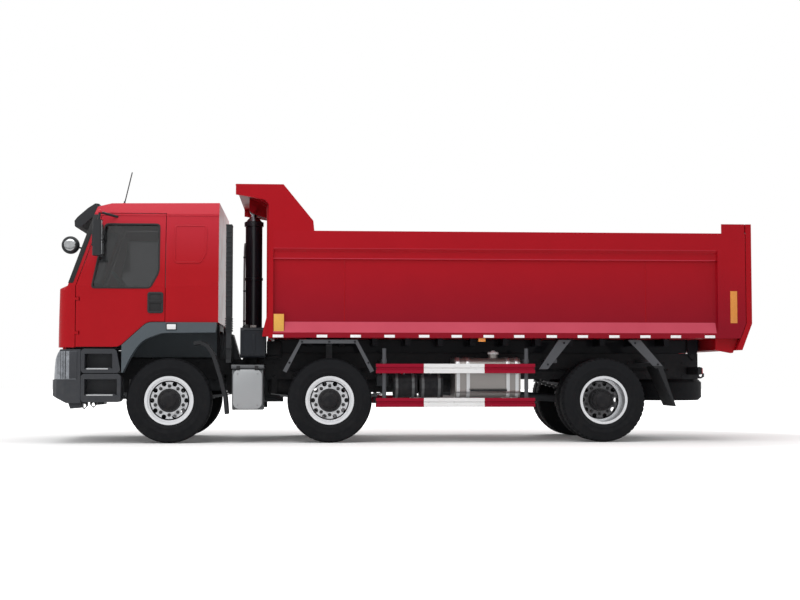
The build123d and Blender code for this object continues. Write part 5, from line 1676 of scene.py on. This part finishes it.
@dataclass
class HoistDetail:
    """The barrel's collars, tag, feed pipe and clips."""

    station: float = 2.412
    radius: float = 0.112
    collars: tuple[Point, ...] = ((1.205, 0.014, 0.06), (1.39, 0.012, 0.05), (2.1, 0.01, 0.04),
                                  (2.82, 0.016, 0.066))

    def build(self) -> None:
        """Dresses the barrel."""
        for index, (z, out, height) in enumerate(self.collars):
            centre, shape = (x_at(self.station), 0.0, z), (out, height, 0.004)
            BARREL.hold(Shop.hoop(f"barrel_collar_{index}", self.radius, shape, centre, Axis.Z, 56))
        tag_s = (self.station - 0.04, self.station + 0.04)
        Block("hoist_tag", Fit("hoist_barrel", "lamp", PALE_TAG), tag_s,
              (self.radius - 0.01, self.radius + 0.0015), (1.448, 1.505), 0.001).make()
        run = ((2.3, 2.6), (2.286, 2.56), (2.286, 1.5), (2.286, 1.3), (2.31, 1.26))
        feed = Shop.pipe("hoist_feed", [(x, 0.03, z) for x, z in stations(run)], 0.013)
        Fit("hoist_barrel", "rod_steel", NUT_STEEL).hold(feed)
        clips = [Shop.block("feed_clip", (2.272, 2.304), (0.012, 0.048), (z, z + 0.022))
                 for z in (1.55, 1.95, 2.4)]
        BARREL.hold(Shop.join("feed_clips", clips))


@dataclass
class FrontEnd:
    """Lamps, steps and bumper detail at the truck's face."""

    cheek_y: Pair = (1.212, 1.2235)
    lamp_z: Pair = (0.8, 1.14)
    treads: tuple[Point, ...] = ((0.39, 0.778, 0.597), (0.39, 0.718, 0.921))
    tread_ribs: int = 7
    bumper_s: float = -0.04
    bowl: tuple[Pair, ...] = ((0.058, 0.0), (0.064, 0.004), (0.064, 0.012), (0.056, 0.014), (0.05, 0.006),
                              (0.02, 0.003), (0.008, 0.003))
    pieces: tuple[Block | Plate | Lathe, ...] = (
        Lathe("lamp_bowl_{}_0", Fit("chassis", "lamp", BRIGHT), (0.014, 0.845, 0.96), Axis.X, 40, bowl),
        Lathe("lamp_bowl_{}_1", Fit("chassis", "lamp", BRIGHT), (0.016, 0.985, 0.955), Axis.X, 40, bowl),
        Block("lamp_bar_{}_0", FRAME_TRIM, (0.147, 0.153), cheek_y, lamp_z, 0.002),
        Block("lamp_bar_{}_1", FRAME_TRIM, (0.0925, 0.0975), cheek_y, lamp_z, 0.002),
        Block("lamp_cheek_{}", FRAME_GREY, (0.198, 0.2935), cheek_y, lamp_z, 0.004, 3),
        Lathe("fog_lamp_{}", FRAME_LAMP, (-0.038, 0.8, 0.69), Axis.X, 40,
              ((0.062, 0.0), (0.062, 0.01), (0.054, 0.016), (0.046, 0.012), (0.01, 0.01))),
        Plate("step_back_{}", FRAME_GREY, rounded(0.7, 0.9, 0.98, 1.148, 0.03), (0.952, 0.962), 0.003),
        Plate("bumper_lip_{}", FRAME_GREY, ((0.18, 0.502), (0.33, 0.502), (0.33, 0.44), (0.205, 0.43)),
              (0.88, 1.16), 0.006))

    def steps(self, side: str, sign: float) -> None:
        """Ribbed treads in the step boxes and a bright edge on each.

        Args:
            side: the side's name.
            sign: 1.0 on the left, -1.0 on the right.
        """
        across = (sign * 1.03, sign * 1.2185)
        for index, (s0, s1, z) in enumerate(self.treads):
            made = [Shop.block("tread_board", (s0, s1), across, (z - 0.002, z + 0.01), 0.003)]
            for rib in range(self.tread_ribs):
                y = sign * (1.05 + rib * 0.026)
                made.append(Shop.block("tread_rib", (s0 + 0.02, s1 - 0.02), (y - 0.005, y + 0.005),
                                       (z + 0.009, z + 0.017), 0.003))
            Fit("chassis", "aluminium", STEP_GREY).hold(Shop.join(f"step_tread_{side}_{index}", made))
            edge_s, edge_z = (s0 + 0.02, s1 - 0.045), (z - 0.006, z + 0.01)
            Block(f"step_edge_{side}_{index}", Fit("chassis", "aluminium", TREAD_ALLOY), edge_s,
                  (1.2185, 1.2245), edge_z, 0.002).make(side, sign)

    def build(self) -> None:
        """Dresses both corners and the bumper's middle."""
        for side, sign in SIDES.items():
            for piece in self.pieces:
                piece.make(side, sign)
            self.steps(side, sign)
        face = self.bumper_s
        Block("blank_plate", Fit("chassis", "aluminium", SILVER_LID), (face - 0.004, face + 0.001),
              (-0.26, 0.26), (0.64, 0.76), 0.002).make()
        Block("bumper_slot", FRAME_SEAL, (face - 0.005, face + 0.001), (-0.62, 0.62), (0.785, 0.822)).make()


@dataclass
class SidePieces:
    """Bands, caps, lids and pipes of the tanks and boxes along the frame."""

    tank: tuple[float, float, float, float] = (0.5, 1.13, 0.562, 1.062)
    tank_r: float = 0.126
    strap_out: float = 0.01
    straps: tuple[float, ...] = (5.028, 5.154, 5.661, 5.775)
    drum_y: float = 0.86
    drum_z: float = 0.71
    drum_r: float = 0.15
    bands: tuple[float, ...] = (4.262, 4.47, 4.594, 4.802)
    dish: tuple[Pair, ...] = ((0.1, 0.0), (0.06, 0.016), (0.02, 0.02), (0.02, 0.036), (0.012, 0.04))
    louvres: int = 16
    pieces: tuple[Block | Plate | Lathe, ...] = (
        Lathe("filler_cap", FRAME_LAMP, (5.497, 0.93, 1.11), Axis.Z, 32,
              ((0.072, 0.0), (0.072, 0.022), (0.066, 0.03), (0.03, 0.034), (0.026, 0.046), (0.01, 0.048))),
        Lathe("level_sender", FRAME_SEAL, (5.3, 0.85, 1.0605), Axis.Z, 24,
              ((0.04, 0.0), (0.04, 0.01), (0.018, 0.014), (0.016, 0.034), (0.008, 0.036))),
        Block("tank_step", FRAME_BLACK, (5.18, 5.64), (1.134, 1.19), (0.64, 0.664), 0.006),
        Lathe("drum_end_0", FRAME_BLACK, (4.221, drum_y, drum_z), Axis.X, 32, dish),
        Lathe("drum_end_1", FRAME_BLACK, (4.552, drum_y, drum_z), Axis.X, 32, dish),
        Lathe("drain_knob", Fit("chassis", "red_paint", RED), (4.33, drum_y + 0.02, drum_z + 0.146), Axis.Z,
              20, ((0.012, 0.0), (0.012, 0.03), (0.026, 0.034), (0.026, 0.056), (0.016, 0.064))),
        Plate("box_face", Fit("chassis", "grey_paint", BOX_FACE), rounded(2.206, 2.565, 0.424, 0.915, 0.078),
              (1.175, 1.188)),
        Lathe("oil_cap", FRAME_SEAL, (2.36, 1.0, 1.4385), Axis.Z, 32,
              ((0.05, 0.0), (0.05, 0.018), (0.044, 0.026), (0.036, 0.028), (0.034, 0.04), (0.012, 0.044))),
        Block("oil_gauge", OIL_PAINT, (2.44, 2.48), (1.148, 1.1565), (1.13, 1.36)),
        Block("intake_cap", FRAME_TRIM, (2.102, 2.184), (0.894, 1.126), (2.716, 2.737), 0.01, 3))

    def strap(self, name: str, station: float) -> Any:
        """A bright band round the fuel tank.

        Args:
            name: the piece's name.
            station: where it lies along the tank.

        Returns:
            The piece.
        """
        y0, y1, z0, z1 = self.tank
        out = self.strap_out
        outline = [(y0 - out, z0 - out), (y1 + out, z0 - out), (y1 + out, z1 + out), (y0 - out, z1 + out)]
        flat = Shop.rim("strap_flat", outline, 0.006, -0.022, 0.044, self.tank_r + 0.004)
        turn = Matrix(((0, 1, 0, x_at(station)), (1, 0, 0, 0), (0, 0, 1, 0), (0, 0, 0, 1)))
        return Shop.moved(flat, name, turn)

    def drums(self) -> None:
        """Bands and the joining pipe of the air drums."""
        y, z = self.drum_y, self.drum_z
        for index, station in enumerate(self.bands):
            centre, shape = (x_at(station + 0.017), y, z), (0.006, 0.035, 0.001)
            ring = Shop.hoop(f"drum_band_{index}", self.drum_r, shape, centre, Axis.X, 48)
            Fit("chassis", "chassis_paint", LEAF_STEEL).hold(ring)
        run = ((4.36, 0.146), (4.36, 0.215), (4.44, 0.215), (4.62, 0.215), (4.7, 0.215), (4.7, 0.146))
        FRAME_STEEL.hold(Shop.pipe("drum_pipe", [(x, y + 0.02, z + up) for x, up in stations(run)], 0.009))

    def boxes(self) -> None:
        """The battery box's bolts and latches, the oil box's frame and the intake's louvres."""
        bolt = [(0.012, -0.002), (0.012, 0.006), (0.008, 0.009)]
        bolts = [Shop.turned("face_bolt", bolt, (x_at(s), 1.187, z), Axis.Y, 6)
                 for s in (2.262, 2.51) for z in (0.475, 0.865)]
        FRAME_STEEL.hold(Shop.join("box_bolts", bolts))
        for index, s in enumerate((2.27, 2.495)):
            latch = Shop.block("latch_plate", (s - 0.022, s + 0.022), (1.186, 1.193), (0.905, 0.962), 0.002)
            lever = Shop.block("latch_lever", (s - 0.01, s + 0.01), (1.191, 1.199), (0.912, 0.95), 0.002)
            FRAME_SEAL.hold(Shop.join(f"box_latch_{index}", [latch, lever]))
        panel = stations(((2.575, 1.09), (2.315, 1.09), (2.315, 1.415), (2.575, 1.415)))
        OIL_PAINT.hold(Shop.rim("oil_panel", panel, 0.012, 1.148, 0.006, 0.03))
        heights = [1.7 + 0.062 * index for index in range(self.louvres)]
        louvres = [Shop.block("louvre", (2.11, 2.176), (1.116, 1.127), (z, z + 0.02)) for z in heights]
        FRAME_TRIM.hold(Shop.join("intake_louvres", louvres))

    def build(self) -> None:
        """Dresses the pieces along both sides."""
        for index, station in enumerate(self.straps):
            Fit("chassis", "aluminium", SILVER_LID).hold(self.strap(f"tank_strap_{index}", station))
        for piece in self.pieces:
            piece.make()
        self.drums()
        self.boxes()


@dataclass
class Underframe:
    """Rivets, spring bolts, brake chambers, pipes, rear lamps and the mudguards' bolts."""

    rail_y: float = 0.43
    rivet: float = 0.013
    rivet_rows: tuple[float, ...] = (0.835, 1.005)
    rivet_count: int = 33
    spring_y: float = 0.39
    line_y: float = 0.437
    lens_s: Pair = (8.199, 8.216)
    lens_z: Pair = (0.864, 0.936)
    tray_y: Pair = (0.29, 0.352)
    chambers: tuple[Point, ...] = ((0.43, 0.64, 1.0), (-0.16, 0.7, -1.0))
    chamber_y: float = 0.62
    chamber_profile: tuple[Pair, ...] = (
        (0.03, 0.0), (0.072, 0.01), (0.08, 0.05), (0.08, 0.07), (0.09, 0.072), (0.09, 0.092),
        (0.08, 0.094), (0.08, 0.13), (0.07, 0.16), (0.03, 0.172), (0.012, 0.174), (0.012, 0.26),
        (0.01, 0.262))
    guard_bolts: tuple[Point, ...] = (
        (3.06, 1.23, 1.262), (3.4, 1.23, 1.262), (3.72, 1.23, 1.262), (2.905, 1.23, 1.0),
        (3.89, 1.23, 1.0), (6.37, 1.19, 1.25), (6.16, 1.19, 0.98), (7.28, 1.19, 1.25),
        (7.57, 1.19, 0.98))
    pieces: tuple[Block | Plate, ...] = (
        Block("tail_lens_{}_0", FRAME_LAMP, lens_s, (0.655, 0.75), lens_z, 0.006, 3),
        Block("tail_lens_{}_1", Fit("chassis", "lamp", AMBER_LENS), lens_s, (0.76, 0.87), lens_z, 0.006, 3),
        Block("tail_lens_{}_2", Fit("chassis", "lamp", TAIL_LENS), lens_s, (0.88, 0.97), lens_z, 0.006, 3),
        Plate("pipe_tray_{}_0", FRAME_BLACK, rounded(2.62, 2.98, 0.58, 0.806, 0.04), tray_y, 0.008),
        Plate("pipe_tray_{}_1", FRAME_BLACK, rounded(3.9, 5.94, 0.62, 0.806, 0.04), tray_y, 0.008))

    def rivets(self, side: str, sign: float) -> None:
        """Two rows of heads along one rail's web.

        Args:
            side: the side's name.
            sign: 1.0 on the left, -1.0 on the right.
        """
        r = self.rivet
        head = [(r, -0.001), (r, 0.003), (r * 0.8, 0.008), (r * 0.35, 0.01)]
        first = Shop.turned("rivet", head, (0, 0, 0), Axis.Y, 8)
        rows = []
        for index in range(self.rivet_count):
            for z in self.rivet_rows:
                there = Matrix.Translation((x_at(0.25 + 0.245 * index), self.rail_y, z))
                rows.append(Shop.copy(first, "rivet", flip(sign) @ there))
        bpy.data.objects.remove(first)
        FRAME_BLACK.hold(Shop.join(f"rail_rivets_{side}", rows))

    def clamps(self, side: str, sign: float) -> None:
        """The legs of the U-bolts over each spring.

        Args:
            side: the side's name.
            sign: 1.0 on the left, -1.0 on the right.
        """
        made = []
        for number, station in AXLES.items():
            top, low = (0.8, 0.42) if number == REAR_AXLE else (0.775, 0.5)
            for shift in (-0.048, 0.048):
                for across in (-0.06, 0.06):
                    y = sign * (self.spring_y + across)
                    path = [(x_at(station + shift), y, z) for z in (low, (low + top) / 2, top)]
                    made.append(Shop.pipe("u_bolt", path, 0.01))
        FRAME_STEEL.hold(Shop.join(f"spring_bolts_{side}", made))

    def guards(self, side: str, sign: float) -> None:
        """Bolts of the mudguards and end caps of the side guards.

        Args:
            side: the side's name.
            sign: 1.0 on the left, -1.0 on the right.
        """
        head = [(0.014, -0.002), (0.014, 0.006), (0.01, 0.009)]
        bolts = [Shop.turned("guard_bolt", head, (x_at(s), y, z), Axis.Y, 6) for s, y, z in self.guard_bolts]
        FRAME_PIPE.hold(Shop.moved(Shop.join("guard_bolts", bolts), f"guard_bolts_{side}", flip(sign)))
        caps = [Shop.block("guard_cap", (s - 0.004, s + 0.004), (1.201, 1.229), (z - 0.054, z + 0.054), 0.003)
                for s in (3.986, 5.989) for z in (0.5025, 0.928)]
        FRAME_SEAL.hold(Shop.moved(Shop.join("guard_caps", caps), f"guard_caps_{side}", flip(sign)))

    def blocks(self, side: str, sign: float) -> None:
        """The foot behind the oil box and the brake valve with its ports.

        Args:
            side: the side's name.
            sign: 1.0 on the left, -1.0 on the right.
        """
        cradle_s = (2.604, 2.79)
        foot = Shop.block("cradle_foot", cradle_s, (sign * 0.428, sign * 0.5), (1.056, 1.118), 0.006)
        post = Shop.block("cradle_post", cradle_s, (sign * 0.446, sign * 0.56), (1.1, 1.285), 0.012, 3)
        FRAME_BLACK.hold(Shop.join(f"hoist_cradle_{side}", [foot, post]))
        valve_y = (sign * 0.429, sign * 0.6)
        made = [Shop.block("valve_body", (4.02, 4.18), valve_y, (0.7, 0.85), 0.016, 3)]
        port = [(0.03, 0.0), (0.03, 0.03), (0.022, 0.034), (0.018, 0.06), (0.01, 0.064)]
        for s in (4.06, 4.14):
            made.append(Shop.turned("valve_port", port, (x_at(s), sign * 0.52, 0.848), Axis.Z, 16))
        Fit("chassis", "engine_iron", CAST_IRON).hold(Shop.join(f"brake_valve_{side}", made))

    def brakes(self, side: str, sign: float) -> None:
        """The rear axle's brake chambers on their arms and the lines along the rail.

        Args:
            side: the side's name.
            sign: 1.0 on the left, -1.0 on the right.
        """
        axle, y = AXLES[REAR_AXLE], sign * self.chamber_y
        for index, (shift, z, back) in enumerate(self.chambers):
            body = Shop.turned("chamber_body", self.chamber_profile, (x_at(axle + shift), y, z), Axis.X, 32)
            near, far = axle - 0.02 * back, axle + 0.31 * back
            outline = stations(((near, 0.56), (far, z - 0.06), (far, z + 0.04), (near, 0.6)))
            arm = Shop.plate("chamber_arm", outline, y - 0.006, 0.012, 0.003)
            FRAME_BLACK.hold(Shop.join(f"brake_chamber_{side}_{index}", [body, arm]))
        lines = [Shop.pipe("brake_line", [(x_at(s), sign * self.line_y, z) for s in (2.9, 5.0, 7.9)], 0.006)
                 for z in (0.9, 0.922)]
        FRAME_PIPE.hold(Shop.join(f"brake_lines_{side}", lines))

    def build(self) -> None:
        """Dresses the frame."""
        Block("air_duct", FRAME_BLACK, (0.93, 1.128), (-0.42, 0.42), (1.049, 1.1), 0.016, 3).make()
        for side, sign in SIDES.items():
            self.rivets(side, sign)
            self.clamps(side, sign)
            self.guards(side, sign)
            for piece in self.pieces:
                piece.make(side, sign)
            self.blocks(side, sign)
            self.brakes(side, sign)


@dataclass
class CadFinishes:
    """The finish of each CAD node that stays in sight."""

    table: dict[Finish, tuple[str, ...]] = field(default_factory=lambda: {
        RED: ("cab_front_panel", "cab_roof", "cab_shell", "door_left", "door_right"),
        BED_RED: ("bed_front_wall", "tailgate"),
        BED_WALL: ("bed_sides",),
        BED_UNDER: ("bed_floor",),
        DARK_TRIM: ("sun_visor", "cab_fittings", "mirror_left", "mirror_right", "dashboard", "intake_stack"),
        STEP_GREY: ("front_bumper", "cab_steps"),
        FLARE_GREY: ("arch_flares",),
        CHASSIS_BLACK: ("frame", "cab_rest", "tow_lugs", "subframe", "axles", "air_tanks", "rear_lamp_bar",
                        "cab_floor", *(f"knuckle_{number}_{side}" for number in (1, 2) for side in SIDES)),
        LEAF_STEEL: ("leaf_springs",),
        GUARD_TONES: ("mudguards",),
        GUARD_PAINT: ("side_guards",),
        CAST_IRON: ("drive_line", "silencer"),
        TANK_ALLOY: ("fuel_tank",),
        BOX_GREY: ("battery_box",),
        OIL_BOX: ("hydraulic_tank",),
        HOIST_NAVY: ("hoist_barrel",),
        ROD_CHROME: ("hoist_stage_1", "hoist_stage_2", "hoist_stage_3"),
        WINDOW: ("windscreen", "door_glass_left", "door_glass_right"),
        LAMP_SILVER: ("headlamps",),
        SEAT_CLOTH: ("seats",),
        **{paint: tuple(f"wheel_{number}_{side}" for side in SIDES)
           for number, paint in WHEEL_PAINTS.items()},
        RUBBER: ("spare_wheel", *(f"tyre_{number}_{side}" for number in AXLES for side in SIDES)),
    })

    def build(self, nodes: dict[str, Any]) -> None:
        """Assigns the finishes to the nodes' material slots.

        Args:
            nodes: the frame's nodes by name.
        """
        for finish, names in self.table.items():
            material = finish.material()
            for name in names:
                node = nodes[name]
                if not node.material_slots:
                    node.data.materials.append(material)
                for place in node.material_slots:
                    place.material = material


def main() -> None:
    """Builds the studio and the truck's pieces in order."""
    logging.basicConfig(level=logging.INFO, format="%(message)s")
    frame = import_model()
    CadFinishes().build(frame["nodes"])
    parts = (RoadTyres(), WheelFittings(), CabFront(), Doors(), CabInside(), BedDetail(), GateDetail(),
             HoistDetail(), FrontEnd(), SidePieces(), Underframe(), Studio())
    for part in parts:
        part.build()


if __name__ == "__main__":
    main()
